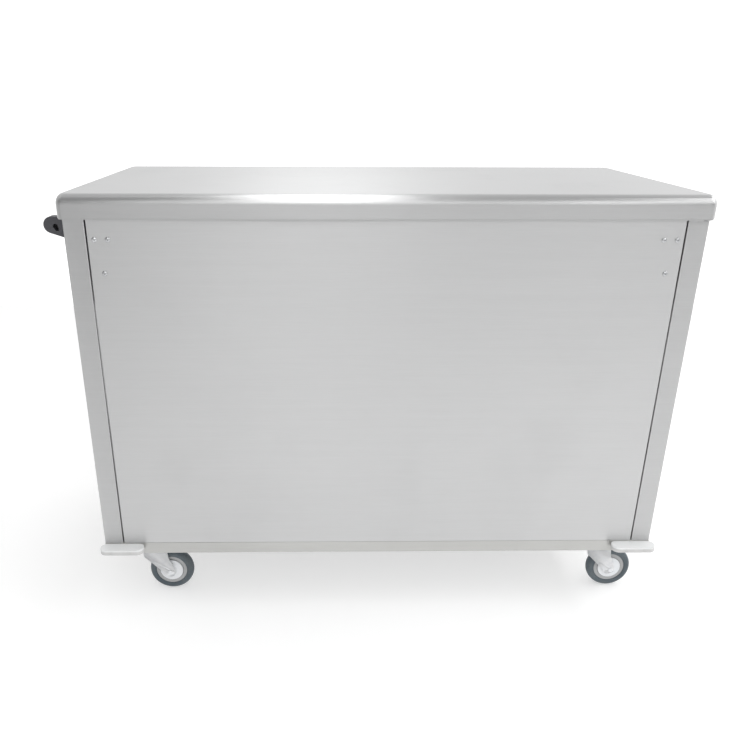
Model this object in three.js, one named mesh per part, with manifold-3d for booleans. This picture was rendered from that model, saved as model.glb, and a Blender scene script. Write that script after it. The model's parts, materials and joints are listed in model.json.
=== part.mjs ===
// A mobile steam table: a sheet-metal cabinet on four casters, with three heated wells
// under a flat lift-off cover, a push handle at one end and bumpers at the base corners.
//
// Millimetres, +Z up. X runs along the length, with the push handle at -X. The closed
// customer side faces -Y and the open operator side faces +Y. The origin is on the floor,
// at the middle of the space that the unit takes up.
import * as THREE from "three";
import { mergeVertices } from "three/addons/utils/BufferGeometryUtils.js";
import Module from "manifold-3d";

const wasm = await Module();
wasm.setup();

// ---------------------------------------------------------------- driving dimensions

const GAP = 0.3; // clearance between pieces that touch
const CUT = 5; // how far a cutting solid runs past what it cuts

// Cover: a flat top with a rolled edge
const TOP_LENGTH = 1219;
const TOP_DEPTH = 610;
const TOP_HEIGHT = 914;
const TOP_SHEET = 2;
const EDGE_ROLL = 19; // outer radius of the rolled edge
const TOP_CORNER = 12; // outer radius of each corner, from above
const SKIRT_HEIGHT = 43;
const SKIRT_LIP = 3; // inward hem at the bottom of the skirt
const OVERHANG = 8; // from the body's face to the skirt's face
const STIFFENER_WIDTH = 50;
const STIFFENER_SHEET = 1.5;
const STIFFENER_STRAP = 3;

// Body
const SHEET = 1.2;
const DECK_SHEET = 1.5;
const DECK_DROP = 28; // from the top of the cover to the top of the deck
const CORNER_STRIP = 41; // from the body's corner to the middle of the seam
const SEAM = 2.5;
const FLANGE = 14; // depth of the folded edges
const NOTCH_WIDTH = 7; // fold relief at the top of the right end panel
const NOTCH_BELOW_SKIRT = 4;
const NOTCH_FROM_CORNER = 4;

// Base
const RAIL_HEIGHT = 27;
const RAIL_WIDTH = 25;
const RAIL_WALL = 2;
const CHANNEL_WIDTH = 150;
const CHANNEL_PLATE = 3;
const SHELF_SHEET = 1.5;
const SHELF_UPSTAND = 20;

// Wells
const WELL_COUNT = 3;
const WELL_WIDTH = 305;
const WELL_LENGTH = 508;
const WELL_DEPTH = 165;
const WELL_SHEET = 1.2;
const WELL_RIM = 8;
const WELL_RIM_SHEET = 1.5;
const WELL_CLEARANCE = 2; // round each well in the deck
const WELL_CORNER = 30;
const WELL_BOTTOM_ROUND = 12;
const WELL_CUSTOMER_MARGIN = 18; // from the body's face to the well
const WELL_END_MARGIN = 10; // from the body's end to the first well's share of the deck
const ELEMENT_DIAMETER = 8;
const ELEMENT_SPACING = 60; // between the element's runs
const ELEMENT_SHORTER = 130; // how much shorter the runs are than the well
const HOUSING_SHEET = 1;
const HOUSING_AIR = 6; // air between the wells and the housing
const HOUSING_FLOOR_AIR = 10;

// Drain
const DRAIN_BORE = 20;
const DRAIN_WALL = 2.5;
const DRAIN_DROP = 30; // from the housing's floor to the drain pipe's middle
const VALVE_DIAMETER = 38;
const VALVE_LENGTH = 46;
const LEVER_LENGTH = 85;
const LEVER_WIDTH = 16;
const LEVER_THICKNESS = 3;
const SOCKET_DEPTH = 12;

// Operator's controls
const CONTROL_HEIGHT = 180;
const CONTROL_RECESS = 15; // keeps the knobs inside the line of the bumpers
const CONTROL_BOX_HEIGHT = 70;
const CONTROL_BOX_DEPTH = 32;
const KNOB_DIAMETER = 44;
const KNOB_HEIGHT = 17;
const SHAFT_DIAMETER = 6;
const SWITCH_WIDTH = 22;
const SWITCH_HEIGHT = 32;
const LAMP_DIAMETER = 12;
const INLET_DIAMETER = 54;
const FITTING_SPACING = 48; // from the last knob's edge zone to the lamp, and on to the switch

// Rivets of the tray-rail plates behind the customer panel
const RIVET_HEAD = 10;
const RIVET_SHANK = 5;
const RIVET_SPACING = 25;
const RIVET_DROP = 63.5;
const RIVET_FROM_END = 67.5; // from the body's end to the middle of each group
const RIVET_BELOW_TOP = 82.5; // from the cover's top to the upper rivets
const RIVET_PLATE = 3;
const RIVET_PLATE_MARGIN = 10;

// Push handle
const HANDLE_REACH = 54;
const HANDLE_FROM_FACE = 50; // from the body's face to the bracket
const HANDLE_DROP = 64; // from the cover's top to the bar's middle
const HANDLE_TUBE = 25.4;
const HANDLE_TUBE_WALL = 1.5;
const BRACKET_NOSE = 16; // radius round the bar
const BRACKET_WIDTH = 24;
const BRACKET_SOCKET = 12; // how far the bar goes into each bracket
const BRACKET_FOOT_ABOVE = 16; // the foot's height above and below the bar's middle
const BRACKET_FOOT_BELOW = 29;
const BRACKET_SCREW_HOLE = 10.5;

// Bumpers
const BUMPER_REACH = 28; // in front of the body
const BUMPER_OVERHANG = 9.5; // past the body's end
const BUMPER_LENGTH = 96.5;
const BUMPER_HEIGHT = 12.5;
const BUMPER_ROUND = 4;
const BUMPER_CORNER = 14; // radius of the outer corners, seen from above
const BUMPER_BELOW_RAIL_TOP = 2;

// Casters
const WHEEL_DIAMETER = 101.6;
const WHEEL_WIDTH = 30;
const CORE_DIAMETER = 71;
const CORE_WIDTH = 25;
const HUB_DIAMETER = 28;
const HUB_WIDTH = 32;
const AXLE_DIAMETER = 8;
const CASTER_HEIGHT = 145;
const CASTER_TRAIL = 38; // from the swivel axis to the axle
const CASTER_FROM_END = 84.5;
const CASTER_FROM_FACE = 85;
const CASTER_PLATE_LENGTH = 95;
const CASTER_PLATE_WIDTH = 70;
const CASTER_PLATE = 3;
const CASTER_BOLT_HOLE = 8.5;
const CASTER_BOLT_INSET = 10;
const RACE_DIAMETER = 56;
const RACE_HEIGHT = 9;
const KINGPIN_DIAMETER = 12;
const FORK_SHEET = 3;
const FORK_TOP_DIAMETER = 68;
const FORK_HUB_RADIUS = 26.5;
const FORK_CLEARANCE = 2; // between the hub and each leg
const WHEEL_SIDES = 24;
const PEDAL_WIDTH = 26;
const PEDAL_PIN = 5;
const PEDAL_LENGTH = 72;
const PEDAL_THICKNESS = 4;

// ---------------------------------------------------------------- values that follow

const bodyX = (TOP_LENGTH - 2 * OVERHANG) / 2; // half sizes of the body
const bodyY = (TOP_DEPTH - 2 * OVERHANG) / 2;
const deckTop = TOP_HEIGHT - DECK_DROP;
const deckBottom = deckTop - DECK_SHEET;
const panelTop = deckBottom - GAP;
const skirtBottom = TOP_HEIGHT - SKIRT_HEIGHT;
const railTop = CASTER_HEIGHT + RAIL_HEIGHT;
const panelBottom = railTop + GAP;
const shelfBottom = panelBottom + SHEET + GAP;
const seamX = bodyX - CORNER_STRIP; // middle of the seam beside the customer panel

const wellPitch = (2 * bodyX - 2 * WELL_END_MARGIN) / WELL_COUNT;
const wellY = -bodyY + WELL_CUSTOMER_MARGIN + WELL_LENGTH / 2;
const wellXs = Array.from({ length: WELL_COUNT }, (_, i) => (i - (WELL_COUNT - 1) / 2) * wellPitch);
const wellNames = ["left", "middle", "right"];
const wellBottom = deckTop - WELL_DEPTH - WELL_SHEET;
const elementZ = wellBottom - GAP - ELEMENT_DIAMETER / 2;
const housingFloor = elementZ - ELEMENT_DIAMETER / 2 - HOUSING_FLOOR_AIR;
const housingX = wellXs[WELL_COUNT - 1] + WELL_WIDTH / 2 + HOUSING_AIR;
const housingY = WELL_LENGTH / 2 + HOUSING_AIR;

const drainOuter = DRAIN_BORE + 2 * DRAIN_WALL;
const drainZ = housingFloor - DRAIN_DROP;
const spoutBottom = drainZ + drainOuter / 2 + 2;
const drainX = wellXs[WELL_COUNT - 1];
const valveStart = bodyY - 150;
const leverZ = drainZ - VALVE_DIAMETER / 2 - 6;

const controlFace = bodyY - CONTROL_RECESS;
const controlMiddle = panelTop - CONTROL_HEIGHT / 2;
const lampX = wellXs[WELL_COUNT - 1] + KNOB_DIAMETER / 2 + FITTING_SPACING / 2;
const switchX = lampX + FITTING_SPACING;
const inletX = -switchX;

const handleZ = TOP_HEIGHT - HANDLE_DROP;
const handleX = bodyX + HANDLE_REACH - BRACKET_NOSE; // distance of the bar's middle from x = 0
const bracketOuter = bodyY - HANDLE_FROM_FACE;
const bracketInner = bracketOuter - BRACKET_WIDTH;

const wheelRadius = WHEEL_DIAMETER / 2;
const casterX = bodyX - CASTER_FROM_END;
const casterY = bodyY - CASTER_FROM_FACE;
const forkTop = CASTER_HEIGHT - CASTER_PLATE - RACE_HEIGHT - GAP;
const forkInner = HUB_WIDTH / 2 + FORK_CLEARANCE; // from the wheel's middle to a leg
const pedalPinX = CASTER_TRAIL - 10;
const pedalPinZ = forkTop - FORK_SHEET - PEDAL_PIN / 2 - 6;

// ---------------------------------------------------------------- materials

function finish(color, roughness, metalness) {
  return new THREE.MeshStandardMaterial({ color, roughness, metalness });
}

const finishes = {
  brushedSteel: finish(0xc9cacb, 0.38, 1),
  satinSteel: finish(0xbdbab4, 0.45, 1),
  zinc: finish(0xd9dfe3, 0.35, 1),
  blackPlastic: finish(0x4a4a4e, 0.6, 0),
  palePlastic: finish(0xeceeee, 0.55, 0),
  greyRubber: finish(0x525b61, 0.75, 0),
  greyPlastic: finish(0xa9adac, 0.55, 0),
  element: finish(0x6c6660, 0.6, 1),
  amber: finish(0xe08a1e, 0.25, 0),
  redPlastic: finish(0xb3261e, 0.5, 0),
  brass: finish(0xb8975a, 0.4, 1),
};

// ---------------------------------------------------------------- solids

// A three.js geometry as a solid that can be joined and cut.
function solid(geometry) {
  const bare = geometry.clone();
  bare.deleteAttribute("normal");
  bare.deleteAttribute("uv");
  const merged = mergeVertices(bare, 1e-4);
  return new wasm.Manifold(
    new wasm.Mesh({
      numProp: 3,
      vertProperties: new Float32Array(merged.attributes.position.array),
      triVerts: new Uint32Array(merged.index.array),
    }),
  );
}

function geometryOf(made) {
  const mesh = made.getMesh();
  const geometry = new THREE.BufferGeometry();
  geometry.setAttribute("position", new THREE.BufferAttribute(mesh.vertProperties, 3));
  geometry.setIndex(new THREE.BufferAttribute(mesh.triVerts, 1));
  geometry.computeVertexNormals();
  return geometry;
}

function block(x0, x1, y0, y1, z0, z1) {
  const geometry = new THREE.BoxGeometry(x1 - x0, y1 - y0, z1 - z0);
  geometry.translate((x0 + x1) / 2, (y0 + y1) / 2, (z0 + z1) / 2);
  return solid(geometry);
}

// A cylinder from one place along an axis to another, centred on (a, b) in the other two.
function rod(axis, from, to, a, b, diameter, sides = 12) {
  const geometry = new THREE.CylinderGeometry(diameter / 2, diameter / 2, to - from, sides);
  const middle = (from + to) / 2;
  if (axis === "x") geometry.rotateZ(-Math.PI / 2).translate(middle, a, b);
  if (axis === "y") geometry.translate(a, middle, b);
  if (axis === "z") geometry.rotateX(Math.PI / 2).translate(a, b, middle);
  return solid(geometry);
}

// A profile of [radius, distance] points turned about Y.
function turned(points, sides) {
  const profile = points.map(([radius, along]) => new THREE.Vector2(radius, along));
  return solid(new THREE.LatheGeometry(profile, sides));
}

// An outline in X and Y, extruded up from a height.
function upright(shape, z0, height, options = {}) {
  const geometry = new THREE.ExtrudeGeometry(shape, {
    depth: height,
    bevelEnabled: false,
    curveSegments: 6,
    ...options,
  });
  geometry.translate(0, 0, z0);
  return solid(geometry);
}

// An outline in X and Z, extruded along Y from y0 to y1.
function sideways(shape, y0, y1, curveSegments = 8) {
  const geometry = new THREE.ExtrudeGeometry(shape, {
    depth: y1 - y0,
    bevelEnabled: false,
    curveSegments,
  });
  geometry.rotateX(Math.PI / 2).translate(0, y1, 0);
  return solid(geometry);
}

function roundedRectangle(halfX, halfY, radius) {
  const shape = new THREE.Shape();
  shape.moveTo(-halfX + radius, -halfY);
  shape.lineTo(halfX - radius, -halfY);
  shape.absarc(halfX - radius, -halfY + radius, radius, -Math.PI / 2, 0);
  shape.lineTo(halfX, halfY - radius);
  shape.absarc(halfX - radius, halfY - radius, radius, 0, Math.PI / 2);
  shape.lineTo(-halfX + radius, halfY);
  shape.absarc(-halfX + radius, halfY - radius, radius, Math.PI / 2, Math.PI);
  shape.lineTo(-halfX, -halfY + radius);
  shape.absarc(-halfX + radius, -halfY + radius, radius, Math.PI, 1.5 * Math.PI);
  return shape;
}

// A block centred on x = y = 0 with a vertical corner radius, and edges rolled at top and
// bottom by a smaller radius.
function rolledBlock(halfX, halfY, z0, z1, corner, roll, segments) {
  const shape = roundedRectangle(halfX - roll, halfY - roll, corner - roll);
  return upright(shape, z0 + roll, z1 - z0 - 2 * roll, {
    bevelEnabled: true,
    bevelSize: roll,
    bevelThickness: roll,
    bevelSegments: segments,
    curveSegments: segments,
  });
}

// A sheet folded back along its four edges. Its face is at y0 and its flanges run to y1.
function foldedPanel(halfX, y0, y1, z0, z1) {
  const inward = Math.sign(y1 - y0);
  const body = block(-halfX, halfX, Math.min(y0, y1), Math.max(y0, y1), z0, z1);
  const inside = [y0 + inward * SHEET, y1 + inward * CUT].sort((a, b) => a - b);
  return body.subtract(block(-halfX + SHEET, halfX - SHEET, ...inside, z0 + SHEET, z1 - SHEET));
}

function mirrored(made, x, y) {
  return made.mirror([x, y, 0]);
}

const unit = new THREE.Group();
unit.position.x = (HANDLE_REACH - BUMPER_OVERHANG) / 2;

function add(name, made, material, parent = unit) {
  const mesh = new THREE.Mesh(geometryOf(made), material);
  mesh.name = name;
  parent.add(mesh);
  return mesh;
}

// ---------------------------------------------------------------- cover

// A side view of the top: flat, with both edges rolled down. Across is the half width.
function rolledOutline(across, z0, z1, roll, segments) {
  const shape = new THREE.Shape();
  shape.moveTo(-across, z0);
  shape.lineTo(across, z0);
  shape.lineTo(across, z1 - roll);
  for (let i = 1; i <= segments; i += 1) {
    const angle = (i / segments) * (Math.PI / 2);
    shape.lineTo(across - roll + roll * Math.cos(angle), z1 - roll + roll * Math.sin(angle));
  }
  for (let i = 0; i <= segments; i += 1) {
    const angle = Math.PI / 2 + (i / segments) * (Math.PI / 2);
    shape.lineTo(-across + roll + roll * Math.cos(angle), z1 - roll + roll * Math.sin(angle));
  }
  shape.closePath();
  return shape;
}

// A block with rolled top edges that meet in mitres, and rounded corners in plan.
function rolledTop(halfX, halfY, z0, z1, corner, roll, segments) {
  const alongY = sideways(rolledOutline(halfX, z0, z1, roll, segments), -halfY - CUT, halfY + CUT);
  const alongX = sideways(rolledOutline(halfY, z0, z1, roll, segments), -halfX - CUT, halfX + CUT);
  const prism = upright(roundedRectangle(halfX, halfY, corner), z0 - CUT, z1 - z0 + 2 * CUT, {
    curveSegments: 3,
  });
  return alongY.intersect(alongX.rotate([0, 0, 90])).intersect(prism);
}

function coverShell() {
  const halfX = TOP_LENGTH / 2;
  const halfY = TOP_DEPTH / 2;
  const hemTop = skirtBottom + TOP_SHEET;
  const outside = rolledTop(halfX, halfY, skirtBottom, TOP_HEIGHT, TOP_CORNER, EDGE_ROLL, 4);
  const inside = rolledTop(
    halfX - TOP_SHEET,
    halfY - TOP_SHEET,
    hemTop,
    TOP_HEIGHT - TOP_SHEET,
    TOP_CORNER - TOP_SHEET,
    EDGE_ROLL - TOP_SHEET,
    4,
  );
  const lip = TOP_SHEET + SKIRT_LIP;
  const mouth = upright(
    roundedRectangle(halfX - lip, halfY - lip, TOP_CORNER - lip),
    skirtBottom - CUT,
    TOP_SHEET + 2 * CUT,
    { curveSegments: 3 },
  );
  return outside.subtract(inside).subtract(mouth);
}

// Two channels that stand on the deck between the wells, with a strap between them.
function coverStiffener() {
  const top = TOP_HEIGHT - TOP_SHEET - GAP;
  const halfY = TOP_DEPTH / 2 - TOP_SHEET - EDGE_ROLL;
  const half = STIFFENER_WIDTH / 2;
  const crossX = wellPitch / 2;
  const channel = block(-half, half, -halfY, halfY, deckTop + GAP, top).subtract(
    block(
      -half + STIFFENER_SHEET,
      half - STIFFENER_SHEET,
      -halfY - CUT,
      halfY + CUT,
      deckTop,
      top - STIFFENER_SHEET,
    ),
  );
  const strap = block(-crossX, crossX, -half, half, top - STIFFENER_STRAP, top);
  return channel
    .translate([-crossX, 0, 0])
    .add(channel.translate([crossX, 0, 0]))
    .add(strap);
}

add("top_cover", coverShell(), finishes.brushedSteel);
add("cover_stiffener", coverStiffener(), finishes.satinSteel);

// ---------------------------------------------------------------- body panels

function wellOpening(x, z0, z1) {
  const grow = WELL_SHEET + WELL_CLEARANCE;
  const shape = roundedRectangle(WELL_WIDTH / 2 + grow, WELL_LENGTH / 2 + grow, WELL_CORNER);
  return upright(shape, z0, z1 - z0, { curveSegments: 3 }).translate([x, wellY, 0]);
}

function wellDeck() {
  const plate = block(-bodyX, bodyX, -bodyY, bodyY, deckBottom, deckTop);
  return wellXs.reduce(
    (made, x) => made.subtract(wellOpening(x, deckBottom - CUT, deckTop + CUT)),
    plate,
  );
}

// The rivets' places, as offsets from the middle of a group.
const rivetPlaces = [
  [-RIVET_SPACING / 2, 0],
  [RIVET_SPACING / 2, 0],
  [0, -RIVET_DROP],
];
const rivetZ = TOP_HEIGHT - RIVET_BELOW_TOP;
const rivetX = bodyX - RIVET_FROM_END;

function customerPanel() {
  let panel = foldedPanel(seamX - SEAM / 2, -bodyY, -bodyY + FLANGE, panelBottom, panelTop);
  for (const side of [-1, 1]) {
    for (const [dx, dz] of rivetPlaces) {
      const hole = rod("y", -bodyY - CUT, -bodyY + CUT, side * rivetX + dx, rivetZ + dz, RIVET_SHANK + 2 * GAP);
      panel = panel.subtract(hole);
    }
  }
  return panel;
}

// One end of the body, folded round both corners. Drawn for the end at +X.
function endPanel() {
  const strip = seamX + SEAM / 2;
  const outline = [
    [strip, -bodyY],
    [bodyX, -bodyY],
    [bodyX, bodyY],
    [strip, bodyY],
    [strip, bodyY - FLANGE],
    [strip + SHEET, bodyY - FLANGE],
    [strip + SHEET, bodyY - SHEET],
    [bodyX - SHEET, bodyY - SHEET],
    [bodyX - SHEET, -bodyY + SHEET],
    [strip + SHEET, -bodyY + SHEET],
    [strip + SHEET, -bodyY + FLANGE],
    [strip, -bodyY + FLANGE],
  ];
  const shape = new THREE.Shape(outline.map(([x, y]) => new THREE.Vector2(x, y)));
  return upright(shape, panelBottom, panelTop - panelBottom);
}

function foldRelief() {
  const outer = bodyX - NOTCH_FROM_CORNER;
  const low = skirtBottom - NOTCH_BELOW_SKIRT;
  return block(outer - NOTCH_WIDTH, outer, -bodyY - CUT, -bodyY + CUT, low, panelTop + CUT);
}

add("well_deck", wellDeck(), finishes.brushedSteel);
add("customer_panel", customerPanel(), finishes.brushedSteel);
add("end_panel_right", endPanel().subtract(foldRelief()), finishes.brushedSteel);
add("end_panel_left", mirrored(endPanel(), 1, 0), finishes.brushedSteel);

// A plate behind the customer panel, with the rivets that hold it. Their domed heads show
// outside.
function rivetPlate(side) {
  const back = -bodyY + SHEET + GAP;
  const x = side * rivetX;
  const halfX = RIVET_SPACING / 2 + RIVET_PLATE_MARGIN - GAP;
  let plate = block(
    x - halfX,
    x + halfX,
    back,
    back + RIVET_PLATE,
    rivetZ - RIVET_DROP - RIVET_PLATE_MARGIN,
    rivetZ + RIVET_PLATE_MARGIN,
  );
  const headRadius = RIVET_HEAD / 2;
  const dome = [
    [0, -2.6],
    [headRadius * 0.5, -2.2],
    [headRadius * 0.85, -1.3],
    [headRadius, 0],
    [0, 0],
  ];
  for (const [dx, dz] of rivetPlaces) {
    const head = turned(dome, 12).translate([x + dx, -bodyY - GAP, rivetZ + dz]);
    const shank = rod("y", -bodyY - GAP - 0.5, back + 0.5, x + dx, rivetZ + dz, RIVET_SHANK, 12);
    plate = plate.add(head).add(shank);
  }
  return plate;
}

add("tray_rail_plate_left", rivetPlate(-1), finishes.zinc);
add("tray_rail_plate_right", rivetPlate(1), finishes.zinc);

// ---------------------------------------------------------------- base

// The rail along the customer side, or the operator's, where it stands back behind the
// shelf's lip.
function baseRail(setBack) {
  const y0 = -bodyY + setBack;
  const y1 = y0 + RAIL_WIDTH;
  const hollow = block(
    -bodyX - CUT,
    bodyX + CUT,
    y0 + RAIL_WALL,
    y1 - RAIL_WALL,
    CASTER_HEIGHT + RAIL_WALL,
    railTop - RAIL_WALL,
  );
  return block(-bodyX, bodyX, y0, y1, CASTER_HEIGHT, railTop).subtract(hollow);
}

const operatorSetBack = SHELF_SHEET + GAP;

// A wide channel across each end, with its open side up, that the casters bolt to.
function baseChannel() {
  const y0 = -bodyY + RAIL_WIDTH + GAP;
  const y1 = bodyY - operatorSetBack - RAIL_WIDTH - GAP;
  const x0 = bodyX - CHANNEL_WIDTH;
  return block(x0, bodyX, y0, y1, CASTER_HEIGHT, railTop).subtract(
    block(
      x0 + CHANNEL_PLATE,
      bodyX - CHANNEL_PLATE,
      y0 - CUT,
      y1 + CUT,
      CASTER_HEIGHT + CHANNEL_PLATE,
      railTop + CUT,
    ),
  );
}

function bottomShelf() {
  const x = bodyX - SHEET - GAP;
  const y = bodyY - FLANGE - GAP;
  const top = shelfBottom + SHELF_SHEET;
  const upstandTop = top + SHELF_UPSTAND;
  const tongueX = seamX - SEAM / 2;
  const tray = block(-x, x, -y, y, shelfBottom, upstandTop).subtract(
    block(-x + SHELF_SHEET, x - SHELF_SHEET, -y + SHELF_SHEET, y + CUT, top, upstandTop + CUT),
  );
  const tongue = block(-tongueX, tongueX, y - 1, bodyY, shelfBottom, top);
  const lip = block(-tongueX, tongueX, bodyY - SHELF_SHEET, bodyY, CASTER_HEIGHT, top);
  return tray.add(tongue).add(lip);
}

add("base_rail_customer", baseRail(0), finishes.satinSteel);
add("base_rail_operator", mirrored(baseRail(operatorSetBack), 0, 1), finishes.satinSteel);
add("base_channel_right", baseChannel(), finishes.satinSteel);
add("base_channel_left", mirrored(baseChannel(), 1, 0), finishes.satinSteel);
add("bottom_shelf", bottomShelf(), finishes.brushedSteel);

// ---------------------------------------------------------------- wells

function well(x) {
  const rimTop = deckTop + GAP + WELL_RIM_SHEET;
  const grown = WELL_SHEET;
  const block3 = (grow, low, high, round) =>
    rolledBlock(WELL_WIDTH / 2 + grow, WELL_LENGTH / 2 + grow, low, high, WELL_CORNER + grow, round, 2);
  const outside = block3(grown, wellBottom, rimTop + 2 * WELL_CORNER, WELL_BOTTOM_ROUND + WELL_SHEET);
  const inside = block3(0, wellBottom + WELL_SHEET, rimTop + 2 * WELL_CORNER, WELL_BOTTOM_ROUND);
  const above = block(-WELL_WIDTH, WELL_WIDTH, -WELL_LENGTH, WELL_LENGTH, rimTop, rimTop + 4 * WELL_CORNER);
  const rim = upright(
    roundedRectangle(WELL_WIDTH / 2 + WELL_RIM, WELL_LENGTH / 2 + WELL_RIM, WELL_CORNER + WELL_RIM),
    deckTop + GAP,
    WELL_RIM_SHEET,
    { curveSegments: 2 },
  );
  return outside
    .subtract(above)
    .add(rim)
    .subtract(inside)
    .add(rod("z", spoutBottom, wellBottom + WELL_SHEET / 2, 0, 0, drainOuter))
    .subtract(rod("z", spoutBottom - CUT, wellBottom + CUT, 0, 0, DRAIN_BORE))
    .translate([x, wellY, 0]);
}

// A tubular element bent back and forth under a well.
function heatingElement(x) {
  const runs = 4;
  const half = (WELL_LENGTH - ELEMENT_SHORTER) / 2;
  const sides = 6;
  let made = null;
  const join = (piece) => {
    made = made ? made.add(piece) : piece;
  };
  for (let i = 0; i < runs; i += 1) {
    const runX = (i - (runs - 1) / 2) * ELEMENT_SPACING;
    const isOuter = i === 0 || i === runs - 1;
    join(rod("y", -half, isOuter ? half + ELEMENT_SPACING / 2 : half, runX, 0, ELEMENT_DIAMETER, sides));
  }
  for (let i = 0; i < runs - 1; i += 1) {
    const bendX = (i - (runs - 2) / 2) * ELEMENT_SPACING;
    const end = i % 2 === 0 ? -half : half;
    const ring = new THREE.TorusGeometry(ELEMENT_SPACING / 2, ELEMENT_DIAMETER / 2, sides, 8);
    const outer = ELEMENT_SPACING;
    const keep = block(-outer, outer, end < 0 ? -outer : 0, end < 0 ? 0 : outer, -outer, outer);
    join(solid(ring).intersect(keep).translate([bendX, end, 0]));
  }
  return made.translate([x, wellY, elementZ]);
}

function wellHousing() {
  const low = housingFloor - HOUSING_SHEET;
  const high = deckBottom - HOUSING_AIR - GAP;
  const s = HOUSING_SHEET;
  const tray = block(
    -housingX - s,
    housingX + s,
    wellY - housingY - s,
    wellY + housingY + s,
    low,
    high,
  ).subtract(
    block(-housingX, housingX, wellY - housingY, wellY + housingY, housingFloor, high + CUT),
  );
  return wellXs.reduce(
    (made, x) => made.subtract(rod("z", low - CUT, housingFloor + CUT, x, wellY, drainOuter + 4)),
    tray,
  );
}

wellXs.forEach((x, i) => {
  add(`well_${wellNames[i]}`, well(x), finishes.brushedSteel);
  add(`heating_element_${wellNames[i]}`, heatingElement(x), finishes.element);
});
add("well_housing", wellHousing(), finishes.satinSteel);

// ---------------------------------------------------------------- drain

// A pipe under the wells, with a branch to the valve and a socket round each well's spout.
function drainManifold() {
  const pipes = (diameter, runOut) => {
    const half = (runOut ? 0 : drainOuter) / 2;
    const along = rod("x", wellXs[0] - half, drainX + half, wellY, drainZ, diameter);
    return along.add(rod("y", wellY, valveStart + runOut, drainX, drainZ, diameter));
  };
  let outside = pipes(drainOuter, 0);
  let bores = pipes(DRAIN_BORE, CUT);
  for (const x of wellXs) {
    const socket = rod("z", spoutBottom - 6, spoutBottom + SOCKET_DEPTH, x, wellY, drainOuter + 6);
    const fit = rod("z", spoutBottom - GAP, spoutBottom + 2 * SOCKET_DEPTH, x, wellY, drainOuter + 2 * GAP);
    outside = outside.add(rod("z", drainZ, spoutBottom, x, wellY, drainOuter)).add(socket);
    bores = bores.add(rod("z", drainZ, spoutBottom, x, wellY, DRAIN_BORE)).add(fit);
  }
  return outside.subtract(bores);
}

function drainValve() {
  const start = valveStart + GAP;
  const end = start + VALVE_LENGTH;
  const stemBottom = leverZ - LEVER_THICKNESS - GAP;
  return rod("y", start, end, drainX, drainZ, VALVE_DIAMETER, 8)
    .add(rod("y", end - 1, end + 24, drainX, drainZ, drainOuter))
    .add(rod("z", stemBottom, drainZ, drainX, start + VALVE_LENGTH / 2, 10))
    .subtract(rod("y", start - CUT, end + 24 + CUT, drainX, drainZ, DRAIN_BORE));
}

function drainLever() {
  const y = valveStart + GAP + VALVE_LENGTH / 2;
  const arm = block(drainX - LEVER_LENGTH, drainX, y - LEVER_WIDTH / 2, y + LEVER_WIDTH / 2, leverZ - LEVER_THICKNESS, leverZ);
  const grip = rod("x", drainX - LEVER_LENGTH - 1, drainX - LEVER_LENGTH + 45, y, leverZ - LEVER_THICKNESS / 2, LEVER_WIDTH + 2, 8);
  const eye = rod("z", leverZ - LEVER_THICKNESS, leverZ, drainX, y, LEVER_WIDTH + 6);
  const hole = rod("z", leverZ - 2 * LEVER_THICKNESS, leverZ + LEVER_THICKNESS, drainX, y, 10 + 2 * GAP);
  return arm.add(grip).add(eye).subtract(hole);
}

add("drain_manifold", drainManifold(), finishes.satinSteel);
add("drain_valve", drainValve(), finishes.brass);
add("drain_lever", drainLever(), finishes.redPlastic);

// ---------------------------------------------------------------- controls

function controlPanel() {
  const halfX = seamX - SEAM / 2;
  let panel = foldedPanel(halfX, controlFace, controlFace - FLANGE, panelTop - CONTROL_HEIGHT, panelTop);
  const through = [controlFace - SHEET - CUT, controlFace + CUT];
  for (const x of wellXs) {
    panel = panel.subtract(rod("y", ...through, x, controlMiddle, SHAFT_DIAMETER + 3));
  }
  panel = panel.subtract(rod("y", ...through, lampX, controlMiddle, LAMP_DIAMETER));
  panel = panel.subtract(rod("y", ...through, inletX, controlMiddle, INLET_DIAMETER - 10, 20));
  const halfWidth = SWITCH_WIDTH / 2;
  const halfHeight = SWITCH_HEIGHT / 2;
  const window = block(
    switchX - halfWidth,
    switchX + halfWidth,
    ...through,
    controlMiddle - halfHeight,
    controlMiddle + halfHeight,
  );
  return panel.subtract(window);
}

// The thermostats' box behind the panel, with their three shafts.
function controlBox() {
  const front = controlFace - SHEET - GAP;
  const x = wellXs[WELL_COUNT - 1] + KNOB_DIAMETER / 2;
  const half = CONTROL_BOX_HEIGHT / 2;
  let made = block(-x, x, front - CONTROL_BOX_DEPTH, front, controlMiddle - half, controlMiddle + half);
  for (const shaftX of wellXs) {
    made = made.add(rod("y", front - 1, controlFace + KNOB_HEIGHT - 5, shaftX, controlMiddle, SHAFT_DIAMETER));
  }
  return made;
}

// A skirted knob with a grip bar, turned about Y, its bore open towards the panel.
function knob(x) {
  const radius = KNOB_DIAMETER / 2;
  const base = controlFace + 1;
  const skirt = turned(
    [
      [0, 0],
      [radius, 0],
      [radius, 3],
      [radius - 3, 6],
      [radius - 6, KNOB_HEIGHT - 2],
      [radius - 8, KNOB_HEIGHT - 1],
      [0, KNOB_HEIGHT - 1],
    ],
    20,
  );
  const bar = block(-4, 4, 4, KNOB_HEIGHT, -radius + 1, radius - 1);
  const bore = rod("y", -CUT, KNOB_HEIGHT - 5, 0, 0, SHAFT_DIAMETER + 2 * GAP);
  return skirt.add(bar).subtract(bore).translate([x, base, controlMiddle]);
}

function lamp() {
  const radius = LAMP_DIAMETER / 2;
  return turned(
    [
      [0, -14],
      [radius - GAP, -14],
      [radius - GAP, 0],
      [radius + 2, GAP],
      [radius + 2, 2],
      [radius, 4],
      [radius * 0.5, 5.5],
      [0, 6],
    ],
    12,
  ).translate([lampX, controlFace, controlMiddle]);
}

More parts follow.
